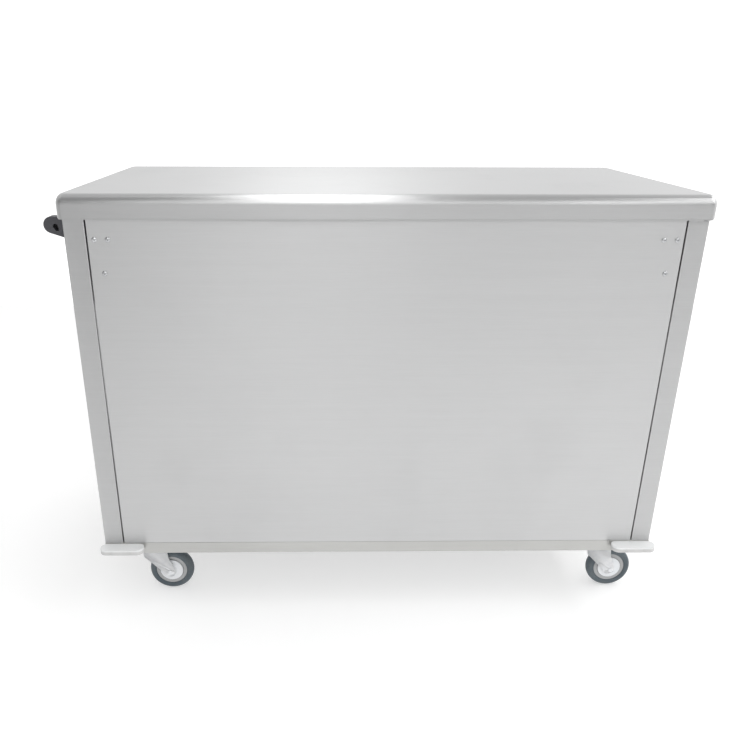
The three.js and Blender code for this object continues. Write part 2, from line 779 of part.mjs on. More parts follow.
add("control_panel", controlPanel(), finishes.brushedSteel);
add("control_box", controlBox(), finishes.satinSteel);
wellXs.forEach((x, i) => add(`knob_${wellNames[i]}`, knob(x), finishes.blackPlastic));
add("power_lamp", lamp(), finishes.amber);

// The rocker stands proud at its upper end, and its pivot lies behind the panel.
function rockerSwitch() {
  const halfX = SWITCH_WIDTH / 2 - 1;
  const halfZ = SWITCH_HEIGHT / 2 - 2;
  // The outline's X is the way out of the panel and its Y is up.
  const outline = new THREE.Shape();
  outline.moveTo(-8, -halfZ + 3);
  outline.lineTo(0, -halfZ);
  outline.lineTo(3, 0);
  outline.lineTo(7, halfZ - 1);
  outline.lineTo(-8, halfZ - 4);
  outline.closePath();
  const geometry = new THREE.ExtrudeGeometry(outline, { depth: 2 * halfX, bevelEnabled: false });
  const across = new THREE.Vector3(0, 1, 0);
  const up = new THREE.Vector3(0, 0, 1);
  const along = new THREE.Vector3(1, 0, 0);
  geometry.translate(0, 0, -halfX);
  geometry.applyMatrix4(new THREE.Matrix4().makeBasis(across, up, along));
  return solid(geometry).translate([switchX, controlFace, controlMiddle]);
}

add("power_switch", rockerSwitch(), finishes.redPlastic);

function powerInlet() {
  const radius = INLET_DIAMETER / 2;
  const body = radius - 5 - GAP;
  let made = turned(
    [
      [0, -28],
      [body, -28],
      [body, GAP],
      [radius, GAP],
      [radius, 3],
      [radius - 3, 5],
      [0, 5],
    ],
    20,
  ).subtract(rod("y", -20, 5 + CUT, 0, 0, 2 * (body - 4), 20));
  for (let i = 0; i < 3; i += 1) {
    const angle = (i * 2 * Math.PI) / 3;
    const pin = rod("y", -21, -4, 9 * Math.sin(angle), 9 * Math.cos(angle), 4, 8);
    made = made.add(pin);
  }
  return made.translate([inletX, controlFace, controlMiddle]);
}

add("power_inlet", powerInlet(), finishes.blackPlastic);

// ---------------------------------------------------------------- push handle

// The bracket at the operator's side. Its nose is round the bar and its foot is flat
// against the end of the body.
function handleBracket() {
  const shape = new THREE.Shape();
  const foot = -bodyX - GAP;
  const noseX = -handleX;
  shape.moveTo(foot, handleZ - BRACKET_FOOT_BELOW);
  shape.lineTo(foot, handleZ + BRACKET_FOOT_ABOVE);
  shape.lineTo(noseX, handleZ + BRACKET_NOSE);
  const lower = Math.PI + Math.PI / 2 - Math.atan2(BRACKET_FOOT_BELOW - BRACKET_NOSE, HANDLE_REACH);
  shape.absarc(noseX, handleZ, BRACKET_NOSE, Math.PI / 2, lower, false);
  shape.closePath();
  return sideways(shape, bracketInner, bracketOuter)
    .subtract(rod("y", bracketInner - CUT, bracketInner + BRACKET_SOCKET, -handleX, handleZ, HANDLE_TUBE + 2 * GAP, 20))
    .subtract(rod("y", bracketInner, bracketOuter + CUT, -handleX, handleZ, BRACKET_SCREW_HOLE));
}

function handleBar() {
  const end = bracketInner + BRACKET_SOCKET - GAP;
  return rod("y", -end, end, -handleX, handleZ, HANDLE_TUBE, 20).subtract(
    rod("y", -end - CUT, end + CUT, -handleX, handleZ, HANDLE_TUBE - 2 * HANDLE_TUBE_WALL, 20),
  );
}

add("handle_bracket_operator", handleBracket(), finishes.blackPlastic);
add("handle_bracket_customer", mirrored(handleBracket(), 0, 1), finishes.blackPlastic);
add("handle_bar", handleBar(), finishes.blackPlastic);

// ---------------------------------------------------------------- bumpers

// A soft guard across one end of a base rail, drawn for the corner at +X and +Y. The outline
// stays inside its round-over, which the bevel adds, and its back is cut flat.
function bumper() {
  const x1 = bodyX + BUMPER_OVERHANG - BUMPER_ROUND;
  const x0 = x1 - BUMPER_LENGTH + 2 * BUMPER_ROUND;
  const y0 = bodyY - BUMPER_ROUND;
  const y1 = bodyY + BUMPER_REACH - BUMPER_ROUND;
  const radius = BUMPER_CORNER - BUMPER_ROUND;
  const shape = new THREE.Shape();
  shape.moveTo(x0, y0);
  shape.lineTo(x1, y0);
  shape.lineTo(x1, y1 - radius);
  shape.absarc(x1 - radius, y1 - radius, radius, 0, Math.PI / 2);
  shape.lineTo(x0 + radius, y1);
  shape.absarc(x0 + radius, y1 - radius, radius, Math.PI / 2, Math.PI);
  shape.closePath();
  const top = railTop - BUMPER_BELOW_RAIL_TOP;
  const low = top - BUMPER_HEIGHT;
  const guard = upright(shape, low + BUMPER_ROUND, BUMPER_HEIGHT - 2 * BUMPER_ROUND, {
    bevelEnabled: true,
    bevelSize: BUMPER_ROUND,
    bevelThickness: BUMPER_ROUND,
    bevelSegments: 2,
    curveSegments: 4,
  });
  const behind = block(bodyX - BUMPER_LENGTH - CUT, bodyX + BUMPER_OVERHANG + CUT, 0, bodyY + GAP, low - CUT, top + CUT);
  return guard.subtract(behind);
}

const cornerNames = { customer: -1, operator: 1 };
const endNames = { left: -1, right: 1 };
const corners = [];
for (const [faceName, sy] of Object.entries(cornerNames)) {
  for (const [endName, sx] of Object.entries(endNames)) {
    corners.push({ name: `${faceName}_${endName}`, sx, sy });
  }
}

for (const { name, sx, sy } of corners) {
  let made = bumper();
  if (sx < 0) made = mirrored(made, 1, 0);
  if (sy < 0) made = mirrored(made, 0, 1);
  add(`bumper_${name}`, made, finishes.palePlastic);
}

// ---------------------------------------------------------------- casters

// Each caster is drawn with its swivel axis at x = y = 0 and its wheel trailing to +X.

function casterPlate() {
  const halfX = CASTER_PLATE_LENGTH / 2;
  const halfY = CASTER_PLATE_WIDTH / 2;
  const top = CASTER_HEIGHT - GAP;
  const low = top - CASTER_PLATE;
  const raceBottom = CASTER_HEIGHT - CASTER_PLATE - RACE_HEIGHT;
  let plate = upright(roundedRectangle(halfX, halfY, 6), low, CASTER_PLATE, { curveSegments: 2 });
  for (const sx of [-1, 1]) {
    for (const sy of [-1, 1]) {
      const x = sx * (halfX - CASTER_BOLT_INSET);
      const y = sy * (halfY - CASTER_BOLT_INSET);
      plate = plate.subtract(rod("z", low - CUT, top + CUT, x, y, CASTER_BOLT_HOLE, 8));
    }
  }
  const pinBottom = forkTop - FORK_SHEET - 5;
  return plate
    .add(rod("z", raceBottom, low + 0.5, 0, 0, RACE_DIAMETER, 16))
    .add(rod("z", pinBottom, low, 0, 0, KINGPIN_DIAMETER, 12))
    .add(rod("z", pinBottom, pinBottom + 4, 0, 0, KINGPIN_DIAMETER + 6, 6));
}

// One leg of the fork, in X and Z: it narrows from the top and ends in a round boss on the
// axle.
function forkLeg() {
  const top = forkTop;
  const axleZ = wheelRadius;
  const shape = new THREE.Shape();
  const boss = FORK_HUB_RADIUS;
  const frontAngle = THREE.MathUtils.degToRad(142); // where the leading edge meets the boss
  const rearAngle = THREE.MathUtils.degToRad(78);
  shape.moveTo(CASTER_TRAIL + boss * Math.cos(rearAngle), axleZ + boss * Math.sin(rearAngle));
  shape.lineTo(CASTER_TRAIL - 1, top);
  shape.lineTo(-FORK_TOP_DIAMETER * 0.4, top);
  shape.lineTo(CASTER_TRAIL + boss * Math.cos(frontAngle), axleZ + boss * Math.sin(frontAngle));
  shape.absarc(CASTER_TRAIL, axleZ, boss, frontAngle, rearAngle + 2 * Math.PI, false);
  return shape;
}

function fork(braked) {
  const top = forkTop;
  let made = rod("z", top - FORK_SHEET, top, 0, 0, FORK_TOP_DIAMETER, 20);
  made = made.add(
    block(-FORK_TOP_DIAMETER * 0.4, CASTER_TRAIL - 1, -forkInner - 1, forkInner + 1, top - FORK_SHEET, top),
  );
  const leg = sideways(forkLeg(), forkInner, forkInner + FORK_SHEET, 8);
  made = made.add(leg).add(leg.translate([0, -2 * forkInner - FORK_SHEET, 0]));
  const wide = forkInner + FORK_SHEET + CUT;
  made = made
    .subtract(rod("z", top - FORK_SHEET - CUT, top + CUT, 0, 0, KINGPIN_DIAMETER + 2 * GAP, 12))
    .subtract(rod("y", -wide, wide, CASTER_TRAIL, wheelRadius, AXLE_DIAMETER + 2 * GAP, 12));
  if (braked) {
    made = made.subtract(rod("y", -wide, wide, pedalPinX, pedalPinZ, PEDAL_PIN + 2 * GAP, 8));
  }
  return made;
}

function wheelCore() {
  const half = CORE_WIDTH / 2;
  const hub = HUB_WIDTH / 2;
  const hubRadius = HUB_DIAMETER / 2;
  const radius = CORE_DIAMETER / 2;
  const bore = AXLE_DIAMETER / 2 + GAP;
  return turned(
    [
      [bore, -hub],
      [hubRadius, -hub],
      [hubRadius + 2, -half + 3],
      [radius - 7, -half],
      [radius, -half],
      [radius, half],
      [radius - 7, half],
      [hubRadius + 2, half - 3],
      [hubRadius, hub],
      [bore, hub],
      [bore, -hub],
    ],
    WHEEL_SIDES,
  );
}

function tyre() {
  const half = WHEEL_WIDTH / 2;
  const inner = CORE_DIAMETER / 2 + GAP;
  return turned(
    [
      [inner, -half + 1],
      [wheelRadius - 6, -half],
      [wheelRadius - 2, -half + 4],
      [wheelRadius, -half + 11],
      [wheelRadius, half - 11],
      [wheelRadius - 2, half - 4],
      [wheelRadius - 6, half],
      [inner, half - 1],
      [inner, -half + 1],
    ],
    WHEEL_SIDES,
  );
}

// The axle bolt, with its head and nut outside the fork's legs.
function axle() {
  const face = forkInner + FORK_SHEET + GAP;
  return rod("y", -face - 1, face + 1, 0, 0, AXLE_DIAMETER, 12)
    .add(rod("y", -face - 5, -face, 0, 0, 15, 6))
    .add(rod("y", face, face + 6.5, 0, 0, 15, 6))
    .add(rod("y", face + 6, face + 9, 0, 0, AXLE_DIAMETER, 12));
}

// The pedal turns on its own pin between the fork's legs. A shoe under it comes down on
// the tyre.
function brakePedal() {
  const x = pedalPinX;
  const z = pedalPinZ;
  const shape = new THREE.Shape();
  const drop = 6;
  const shoeX = x + 13;
  const tyreTop = WHEEL_DIAMETER;
  shape.moveTo(x - 6, z + 5);
  shape.lineTo(x - 6, z - 5);
  shape.lineTo(shoeX - 6, z - 5);
  shape.lineTo(shoeX - 5, tyreTop + 4);
  shape.lineTo(shoeX + 3, tyreTop + 4);
  shape.lineTo(shoeX + 7, z - drop);
  shape.lineTo(x + PEDAL_LENGTH - 20, z - drop - PEDAL_THICKNESS);
  shape.lineTo(x + PEDAL_LENGTH, z);
  shape.lineTo(x + PEDAL_LENGTH - 3, z + 2);
  shape.lineTo(x + PEDAL_LENGTH - 20, z - drop);
  shape.lineTo(x + 10, z + 5);
  shape.closePath();
  const halfWidth = PEDAL_WIDTH / 2;
  const wide = forkInner + FORK_SHEET - GAP;
  return sideways(shape, -halfWidth, halfWidth).add(rod("y", -wide, wide, x, z, PEDAL_PIN, 8));
}

for (const { name, sx, sy } of corners) {
  const caster = new THREE.Group();
  caster.position.set(sx * casterX, sy * casterY, 0);
  unit.add(caster);
  const braked = sy > 0; // the operator's side has the brakes
  add(`caster_plate_${name}`, casterPlate(), finishes.zinc, caster);
  add(`caster_fork_${name}`, fork(braked), finishes.zinc, caster);
  if (braked) add(`brake_pedal_${name}`, brakePedal(), finishes.zinc, caster);
  const wheel = new THREE.Group();
  wheel.position.set(CASTER_TRAIL, 0, wheelRadius);
  caster.add(wheel);
  add(`caster_axle_${name}`, axle(), finishes.zinc, wheel);
  add(`wheel_core_${name}`, wheelCore(), finishes.greyPlastic, wheel);
  add(`tyre_${name}`, tyre(), finishes.greyRubber, wheel);
}

const root = new THREE.Group();
root.add(unit);
export default root;
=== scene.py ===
"""A mobile steam table: a stainless cabinet on casters, with heated wells under a flat lift-off cover."""

import json
import math

import bmesh
import bpy
from mathutils import Matrix, Vector

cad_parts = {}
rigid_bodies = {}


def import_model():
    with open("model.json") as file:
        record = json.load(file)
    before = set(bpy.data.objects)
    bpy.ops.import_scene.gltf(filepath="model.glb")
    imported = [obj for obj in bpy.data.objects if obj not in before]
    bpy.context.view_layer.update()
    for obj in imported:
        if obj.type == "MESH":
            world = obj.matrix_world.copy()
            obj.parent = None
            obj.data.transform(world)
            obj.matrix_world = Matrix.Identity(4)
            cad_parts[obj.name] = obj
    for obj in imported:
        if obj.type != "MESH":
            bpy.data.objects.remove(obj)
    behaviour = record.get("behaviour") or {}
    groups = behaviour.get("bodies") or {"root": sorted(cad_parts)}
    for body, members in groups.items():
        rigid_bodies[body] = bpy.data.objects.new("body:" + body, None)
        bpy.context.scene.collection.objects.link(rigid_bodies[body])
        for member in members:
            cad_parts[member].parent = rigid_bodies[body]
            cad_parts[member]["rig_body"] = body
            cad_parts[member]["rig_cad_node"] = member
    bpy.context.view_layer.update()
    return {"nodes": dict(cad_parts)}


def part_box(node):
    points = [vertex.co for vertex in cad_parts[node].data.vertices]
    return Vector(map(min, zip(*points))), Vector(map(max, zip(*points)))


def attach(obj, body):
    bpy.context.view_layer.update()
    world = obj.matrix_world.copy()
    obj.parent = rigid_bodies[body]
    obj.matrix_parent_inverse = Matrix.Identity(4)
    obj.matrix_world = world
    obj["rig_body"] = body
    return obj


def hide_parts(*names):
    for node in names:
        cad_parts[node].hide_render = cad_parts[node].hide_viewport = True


bl_info = {
    "name": "Steam table unit",
    "version": (1, 0, 0),
    "blender": (4, 5, 0),
    "location": "View3D > Sidebar > Steam table",
    "description": "Models and finishes a mobile steam table on its packed frame",
    "category": "Object",
}

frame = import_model()
MM = 0.001
TINY = 1e-5
UP = Vector((0, 0, 1))
COVER_LOW, COVER_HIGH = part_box("top_cover")
PANEL_LOW, PANEL_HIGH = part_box("customer_panel")
MIDDLE_X = (COVER_LOW.x + COVER_HIGH.x) / 2
CORNERS = ("customer_left", "customer_right", "operator_left", "operator_right")
WELLS = ("left", "middle", "right")


# ---------------------------------------------------------------- hands


def let_go():
    """Leaves edit mode and deselects every object."""
    if bpy.context.active_object and bpy.context.active_object.mode != "OBJECT":
        bpy.ops.object.mode_set(mode="OBJECT")
    bpy.ops.object.select_all(action="DESELECT")


def hold(piece):
    """Selects one object alone and makes it active."""
    let_go()
    piece.select_set(True)
    bpy.context.view_layer.objects.active = piece


def open_up(piece, kind="FACE"):
    """Opens a piece in edit mode with nothing selected."""
    hold(piece)
    bpy.ops.object.mode_set(mode="EDIT")
    bpy.ops.mesh.select_mode(type=kind)
    bpy.ops.mesh.select_all(action="DESELECT")


def close_up():
    """Goes back to object mode."""
    bpy.ops.object.mode_set(mode="OBJECT")


def pick(piece, kind, test):
    """In edit mode, selects the faces, edges or verts that pass a test."""
    mesh = bmesh.from_edit_mesh(piece.data)
    count = 0
    for part in getattr(mesh, kind):
        chosen = bool(test(part))
        part.select_set(chosen)
        count += chosen
    bmesh.update_edit_mesh(piece.data)
    if not count:
        raise RuntimeError(f"none of the {kind} of {piece.name} passed")


def pick_faces(piece, test):
    """Selects the faces whose centre and normal pass a test."""
    pick(piece, "faces", lambda face: test(face.calc_center_median(), face.normal))


def pick_edges(piece, test):
    """Selects the edges whose two ends pass a test."""
    pick(piece, "edges", lambda edge: test(edge.verts[0].co, edge.verts[1].co))


def pick_all():
    """Selects everything in edit mode."""
    bpy.ops.mesh.select_all(action="SELECT")


def pull(value):
    """Extrudes the selection and moves it."""
    bpy.ops.mesh.extrude_region_move(TRANSFORM_OT_translate={"value": value})


def pull_edges(value):
    """Extrudes the selected edges alone and moves them."""
    bpy.ops.mesh.extrude_edges_move(TRANSFORM_OT_translate={"value": value})


def bevel(width, steps, kind="EDGES"):
    """Rounds the selected edges or vertices."""
    bpy.ops.mesh.bevel(offset=width, segments=steps, affect=kind)


def at(level, *values):
    """Whether every value lies at a level."""
    return all(abs(value - level) < TINY for value in values)


def in_mm(points):
    """Pairs in millimetres, made metres."""
    return [(first * MM, second * MM) for first, second in points]


def settle(piece, name):
    """Applies a new object's place, turn and scale, and names it and its mesh."""
    hold(piece)
    bpy.ops.object.transform_apply(location=True, rotation=True, scale=True)
    piece.name = name
    piece.data.name = name
    return piece


def block(name, low, high):
    """A box between two corners."""
    let_go()
    low, high = Vector(low), Vector(high)
    bpy.ops.mesh.primitive_cube_add(size=1, location=(low + high) / 2)
    piece = bpy.context.active_object
    piece.scale = high - low
    return settle(piece, name)


def bar(name, start, end, radius, sides=48):
    """A round bar between two points."""
    let_go()
    start, end = Vector(start), Vector(end)
    along = end - start
    bpy.ops.mesh.primitive_cylinder_add(
        vertices=sides, radius=radius, depth=along.length, location=(start + end) / 2,
        rotation=along.to_track_quat("Z", "Y").to_euler(),
    )
    return settle(bpy.context.active_object, name)


def path(name, points):
    """A chain of edges through points, left open."""
    let_go()
    points = [Vector(p) for p in points]
    bpy.ops.mesh.primitive_plane_add(size=1, location=points[0])
    piece = settle(bpy.context.active_object, name)
    open_up(piece, "VERT")
    pick_all()
    bpy.ops.mesh.merge(type="CENTER")
    for before, after in zip(points, points[1:]):
        pull(after - before)
    return piece


def outward(piece):
    """Merges doubles and turns the faces out."""
    open_up(piece)
    pick_all()
    bpy.ops.mesh.remove_doubles(threshold=1e-6)
    bpy.ops.mesh.normals_make_consistent(inside=False)
    close_up()
    return piece


def turned(name, profile, centre=(0, 0, 0), axis="Z", steps=48, closed=False, shade=None):
    """A lathe piece: (radius, distance along the axis) points spun about the axis through a centre."""
    out = Vector((1, 0, 0)) if axis != "X" else Vector((0, 1, 0))
    along = {"X": Vector((1, 0, 0)), "Y": Vector((0, 1, 0)), "Z": UP}[axis]
    centre = Vector(centre)
    points = [centre + out * r + along * h for r, h in profile]
    if closed:
        points.append(points[0])
    piece = path(name, points)
    pick_all()
    bpy.ops.mesh.spin(steps=steps, angle=math.tau, center=centre, axis=along)
    close_up()
    outward(piece)
    return smooth(piece, shade) if shade else piece


def slab(name, outline, push):
    """A flat outline filled and extruded."""
    piece = path(name, outline)
    pick_all()
    bpy.ops.mesh.edge_face_add()
    pick_all()
    pull(Vector(push))
    close_up()
    return outward(piece)


def folded(name, points, push, bend, sheet, inside, steps=4):
    """A sheet folded along a path: the folds are rounded, the path is extruded, and the wall is added."""
    piece = path(name, points)
    folds = [Vector(p) for p in points[1:-1]]
    pick(piece, "verts", lambda point: any((point.co - f).length < 1e-6 for f in folds))
    bevel(bend, steps, "VERTICES")
    pick_all()
    pull(Vector(push))
    pick_all()
    bpy.ops.mesh.normals_make_consistent(inside=False)
    mesh = bmesh.from_edit_mesh(piece.data)
    mesh.faces.ensure_lookup_table()
    face = mesh.faces[0]
    if face.normal.dot(Vector(inside) - face.calc_center_median()) > 0:
        bpy.ops.mesh.flip_normals()
    close_up()
    return thicken(piece, sheet)


def apply_all(piece):
    """Applies a piece's modifiers in order."""
    hold(piece)
    for modifier in list(piece.modifiers):
        bpy.ops.object.modifier_apply(modifier=modifier.name)
    return piece


def thicken(piece, sheet, offset=-1):
    """Gives a surface a wall, inwards by default."""
    wall = piece.modifiers.new("wall", "SOLIDIFY")
    wall.thickness = sheet
    wall.offset = offset
    wall.use_even_offset = True
    return apply_all(piece)


def soften(piece, width, steps=3, angle=30):
    """Rounds the sharp edges and evens the shading."""
    edge = piece.modifiers.new("edges", "BEVEL")
    edge.width = width
    edge.segments = steps
    edge.limit_method = "ANGLE"
    edge.angle_limit = math.radians(angle)
    edge.harden_normals = False
    apply_all(piece)
    return smooth(piece, 45)


def smooth(piece, angle=35):
    """Shades smooth, except across edges sharper than an angle."""
    hold(piece)
    bpy.ops.object.shade_smooth_by_angle(angle=math.radians(angle))
    even = piece.modifiers.new("even", "WEIGHTED_NORMAL")
    even.keep_sharp = True
    even.weight = 80
    return apply_all(piece)


def combine(piece, tool, operation):
    """Cuts, unites or crosses a piece with a tool, and removes the tool."""
    change = piece.modifiers.new("change", "BOOLEAN")
    change.operation = operation
    change.solver = "EXACT"
    change.object = tool
    apply_all(piece)
    bpy.data.objects.remove(tool)
    return piece


def cut(piece, *tools):
    """Cuts tools out of a piece and removes the tools."""
    for tool in tools:
        combine(piece, tool, "DIFFERENCE")
    return piece


def gather(name, *pieces):
    """Joins pieces into one object."""
    hold(pieces[0])
    for other in pieces[1:]:
        other.select_set(True)
    bpy.ops.object.join()
    pieces[0].name = name
    pieces[0].data.name = name
    return pieces[0]


def stand(piece, name, seat, direction):
    """Stands a piece on a seat with its Z axis along a direction."""
    hold(piece)
    piece.rotation_euler = Vector(direction).normalized().to_track_quat("Z", "Y").to_euler()
    piece.location = Vector(seat)
    return settle(piece, name)


def copy_of(piece, name, shift=(0, 0, 0), turn=0, about=(0, 0, 0)):
    """A copy with its own mesh, turned about an upright axis and moved."""
    hold(piece)
    bpy.ops.object.duplicate()
    copy = bpy.context.active_object
    about = Vector(about)
    copy.matrix_world = (
        Matrix.Translation(Vector(shift) + about)
        @ Matrix.Rotation(math.radians(turn), 4, "Z")
        @ Matrix.Translation(-about)
    )
    return settle(copy, name)


def reworked(node, name, width, steps=2, angle=30):
    """A bench copy of a frame node with its edges rounded."""
    return soften(bench_copy(node, name), width, steps, angle)


def bench_copy(node, name):
    """A merged copy of a frame node, with its flat faces made whole, ready to be worked."""
    hold(frame["nodes"][node])
    bpy.ops.object.duplicate()
    copy = bpy.context.active_object
    copy.parent = None
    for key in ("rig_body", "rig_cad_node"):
        if key in copy:
            del copy[key]
    copy.data = copy.data.copy()
    settle(copy, name)
    open_up(copy)
    pick_all()
    bpy.ops.mesh.remove_doubles(threshold=1e-5)
    bpy.ops.mesh.dissolve_limited(angle_limit=math.radians(1))
    close_up()
    return copy


def lay_grain(piece, way="X"):
    """Maps a piece so that U runs along the belt's scratches: along X, or Y where a face looks along X, or Z."""
    layer = piece.data.uv_layers.new(name="grain")
    for face in piece.data.polygons:
        along = "XYZ".index(way)
        if abs(face.normal[along]) > 0.75:
            along = (along + 1) % 3
        others = [axis for axis in range(3) if axis != along]
        for loop in face.loop_indices:
            place = piece.data.vertices[piece.data.loops[loop].vertex_index].co
            layer.data[loop].uv = (place[along], place[others[0]] - place[others[1]])
    return piece


def finished(piece, body, finish, *nodes, slot=None):
    """Gives a piece its finish and its body, and hides the frame nodes it stands for. The slot is not used."""
    material = FINISHES[finish]
    if "Tangent" in material.node_tree.nodes and "grain" not in piece.data.uv_layers:
        lay_grain(piece, material["grain"])
    piece.data.materials.clear()
    piece.data.materials.append(material)
    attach(piece, body)
    if nodes:
        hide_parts(*nodes)
    return piece


# ---------------------------------------------------------------- finishes


def group_start(name, inputs, outputs):
    """A new shader node group with float or vector inputs and outputs, and its two end nodes."""
    tree = bpy.data.node_groups.new(name, "ShaderNodeTree")
    for label, kind, value in inputs:
        socket = tree.interface.new_socket(label, in_out="INPUT", socket_type=kind)
        if value is not None:
            socket.default_value = value
    for label, kind in outputs:
        tree.interface.new_socket(label, in_out="OUTPUT", socket_type=kind)
    return tree, tree.nodes.new("NodeGroupInput"), tree.nodes.new("NodeGroupOutput")


class Wiring:
    """Short ways to add nodes to one tree and link them."""

    def __init__(self, tree):
        self.tree = tree

    def put(self, socket, value):
        if isinstance(value, bpy.types.NodeSocket):
            self.tree.links.new(value, socket)
        else:
            socket.default_value = value

    def maths(self, operation, a, b=0.0, clamp=False):
        node = self.tree.nodes.new("ShaderNodeMath")
        node.operation = operation
        node.use_clamp = clamp
        self.put(node.inputs[0], a)
        self.put(node.inputs[1], b)
        return node.outputs[0]

    def vector(self, operation, a, b):
        node = self.tree.nodes.new("ShaderNodeVectorMath")
        node.operation = operation
        self.put(node.inputs[0], a)
        self.put(node.inputs[1], b)
        return node.outputs[0]

    def noise(self, vector, scale, detail=2.0, rough=0.5, distortion=0.0):
        node = self.tree.nodes.new("ShaderNodeTexNoise")
        self.put(node.inputs["Vector"], vector)
        self.put(node.inputs["Scale"], scale)
        node.inputs["Detail"].default_value = detail
        node.inputs["Roughness"].default_value = rough
        node.inputs["Distortion"].default_value = distortion
        return node.outputs[0]

    def span(self, value, low, high, to_low=0.0, to_high=1.0):
        node = self.tree.nodes.new("ShaderNodeMapRange")
        node.interpolation_type = "SMOOTHSTEP"
        self.put(node.inputs["Value"], value)
        self.put(node.inputs["From Min"], low)
        self.put(node.inputs["From Max"], high)
        self.put(node.inputs["To Min"], to_low)
        self.put(node.inputs["To Max"], to_high)
        return node.outputs[0]

    def blend(self, amount, a, b, kind="MIX"):
        node = self.tree.nodes.new("ShaderNodeMix")
        node.data_type = "RGBA"
        node.blend_type = kind
        self.put(node.inputs[0], amount)
        self.put(node.inputs[6], a)
        self.put(node.inputs[7], b)
        return node.outputs[2]

    def fade(self, mask, share, tone, to):
        """Takes a tone towards another where a mask is high."""
        return self.blend(self.maths("MULTIPLY", mask, share), tone, to)

    def lift(self, base, mask, share):
        """A value raised where a mask is high."""
        return self.maths("ADD", base, self.maths("MULTIPLY", mask, share))

    def place(self, group, **values):
        node = self.tree.nodes.new("ShaderNodeGroup")
        node.node_tree = group
        for label, value in values.items():
            self.put(node.inputs[label.replace("_", " ")], value)
        return node.outputs


def grain_group():
    """Fine parallel scratches of a belt, long along one axis, with slow streaks across them."""
    tree, start, end = group_start(
        "Belt grain",
        [("Place", "NodeSocketVector", None), ("Along", "NodeSocketVector", (1, 1, 1)),
         ("Fineness", "NodeSocketFloat", 900.0), ("Streaks", "NodeSocketFloat", 0.5)],
        [("Height", "NodeSocketFloat"), ("Tone", "NodeSocketFloat"), ("Roughness", "NodeSocketFloat")],
    )
    w = Wiring(tree)
    stretched = w.vector("MULTIPLY", start.outputs["Place"], start.outputs["Along"])
    fine = w.noise(stretched, start.outputs["Fineness"], 3.0, 0.65)
    broad = w.noise(stretched, w.maths("MULTIPLY", start.outputs["Fineness"], 0.09), 3.0, 0.6)
    streak = w.maths("MULTIPLY", w.maths("SUBTRACT", broad, 0.5), start.outputs["Streaks"])
    height = w.maths("ADD", fine, w.maths("MULTIPLY", streak, 1.5))
    tone = w.maths("ADD", 0.5, w.maths("ADD", streak, w.maths("MULTIPLY", w.maths("SUBTRACT", fine, 0.5), 0.35)))
    rough = w.maths("ADD", 0.5, w.maths("MULTIPLY", streak, 1.2))
    w.put(end.inputs["Height"], height)
    w.put(end.inputs["Tone"], tone)
    w.put(end.inputs["Roughness"], rough)
    return tree


def handling_group():
    """Marks of use: soft cloth wipes, finger smudges and a few stray scratches."""
    tree, start, end = group_start(
        "Handling marks",
        [("Place", "NodeSocketVector", None), ("Size", "NodeSocketFloat", 6.0)],
        [("Smudge", "NodeSocketFloat"), ("Scratch", "NodeSocketFloat")],
    )
    w = Wiring(tree)
    wipes = w.noise(start.outputs["Place"], start.outputs["Size"], 4.0, 0.55, 0.6)
    fingers = w.noise(start.outputs["Place"], w.maths("MULTIPLY", start.outputs["Size"], 5.0), 2.0, 0.5)
    smudge = w.maths("MULTIPLY", w.span(wipes, 0.45, 0.7), w.span(fingers, 0.35, 0.65, 0.5, 1.0))
    bent = w.vector("MULTIPLY", start.outputs["Place"], (7.0, 60.0, 23.0))
    lines = w.maths("ABSOLUTE", w.maths("SUBTRACT", w.noise(bent, 3.0, 2.0, 0.5, 1.2), 0.5))
    scratch = w.maths("MULTIPLY", w.span(lines, 0.0, 0.004, 1.0, 0.0), w.span(fingers, 0.5, 0.62))
    w.put(end.inputs["Smudge"], smudge)
    w.put(end.inputs["Scratch"], scratch)
    return tree


def worn_edge_group():
    """Wear on outer edges, broken up so that no edge is worn evenly, and a mask of crevices for painted shade."""
    tree, start, end = group_start(
        "Worn edges",
        [("Place", "NodeSocketVector", None), ("Reach", "NodeSocketFloat", 0.54)],
        [("Wear", "NodeSocketFloat"), ("Crevice", "NodeSocketFloat")],
    )
    w = Wiring(tree)
    edge = tree.nodes.new("ShaderNodeNewGeometry").outputs["Pointiness"]
    broken = w.noise(start.outputs["Place"], 90.0, 3.0, 0.6)
    outer = w.span(edge, start.outputs["Reach"], w.maths("ADD", start.outputs["Reach"], 0.06))
    w.put(end.inputs["Wear"], w.maths("MULTIPLY", outer, w.span(broken, 0.35, 0.6)))
    # Painted shade: this mask marks the hollows where shade falls.
    w.put(end.inputs["Crevice"], w.span(edge, 0.40, 0.49, 1.0, 0.0))
    return tree


def moulding_group():
    """The fine texture of a moulded surface, with slow changes of gloss."""
    tree, start, end = group_start(
        "Moulded grain",
        [("Place", "NodeSocketVector", None), ("Fineness", "NodeSocketFloat", 1400.0)],
        [("Height", "NodeSocketFloat"), ("Tone", "NodeSocketFloat")],
    )
    w = Wiring(tree)
    fine = w.noise(start.outputs["Place"], start.outputs["Fineness"], 2.0, 0.5)
    slow = w.noise(start.outputs["Place"], 14.0, 3.0, 0.5)
    w.put(end.inputs["Height"], fine)
    w.put(end.inputs["Tone"], w.span(slow, 0.3, 0.7))
    return tree


def sheet_group():
    """The slow unevenness of a large sheet, which bends what it reflects."""
    tree, start, end = group_start(
        "Sheet unevenness",
        [("Place", "NodeSocketVector", None), ("Spread", "NodeSocketVector", (1, 1, 1))],
        [("Height", "NodeSocketFloat")],
    )
    w = Wiring(tree)
    spread = w.vector("MULTIPLY", start.outputs["Place"], start.outputs["Spread"])
    w.put(end.inputs["Height"], w.noise(spread, 2.2, 1.0, 0.4))
    return tree


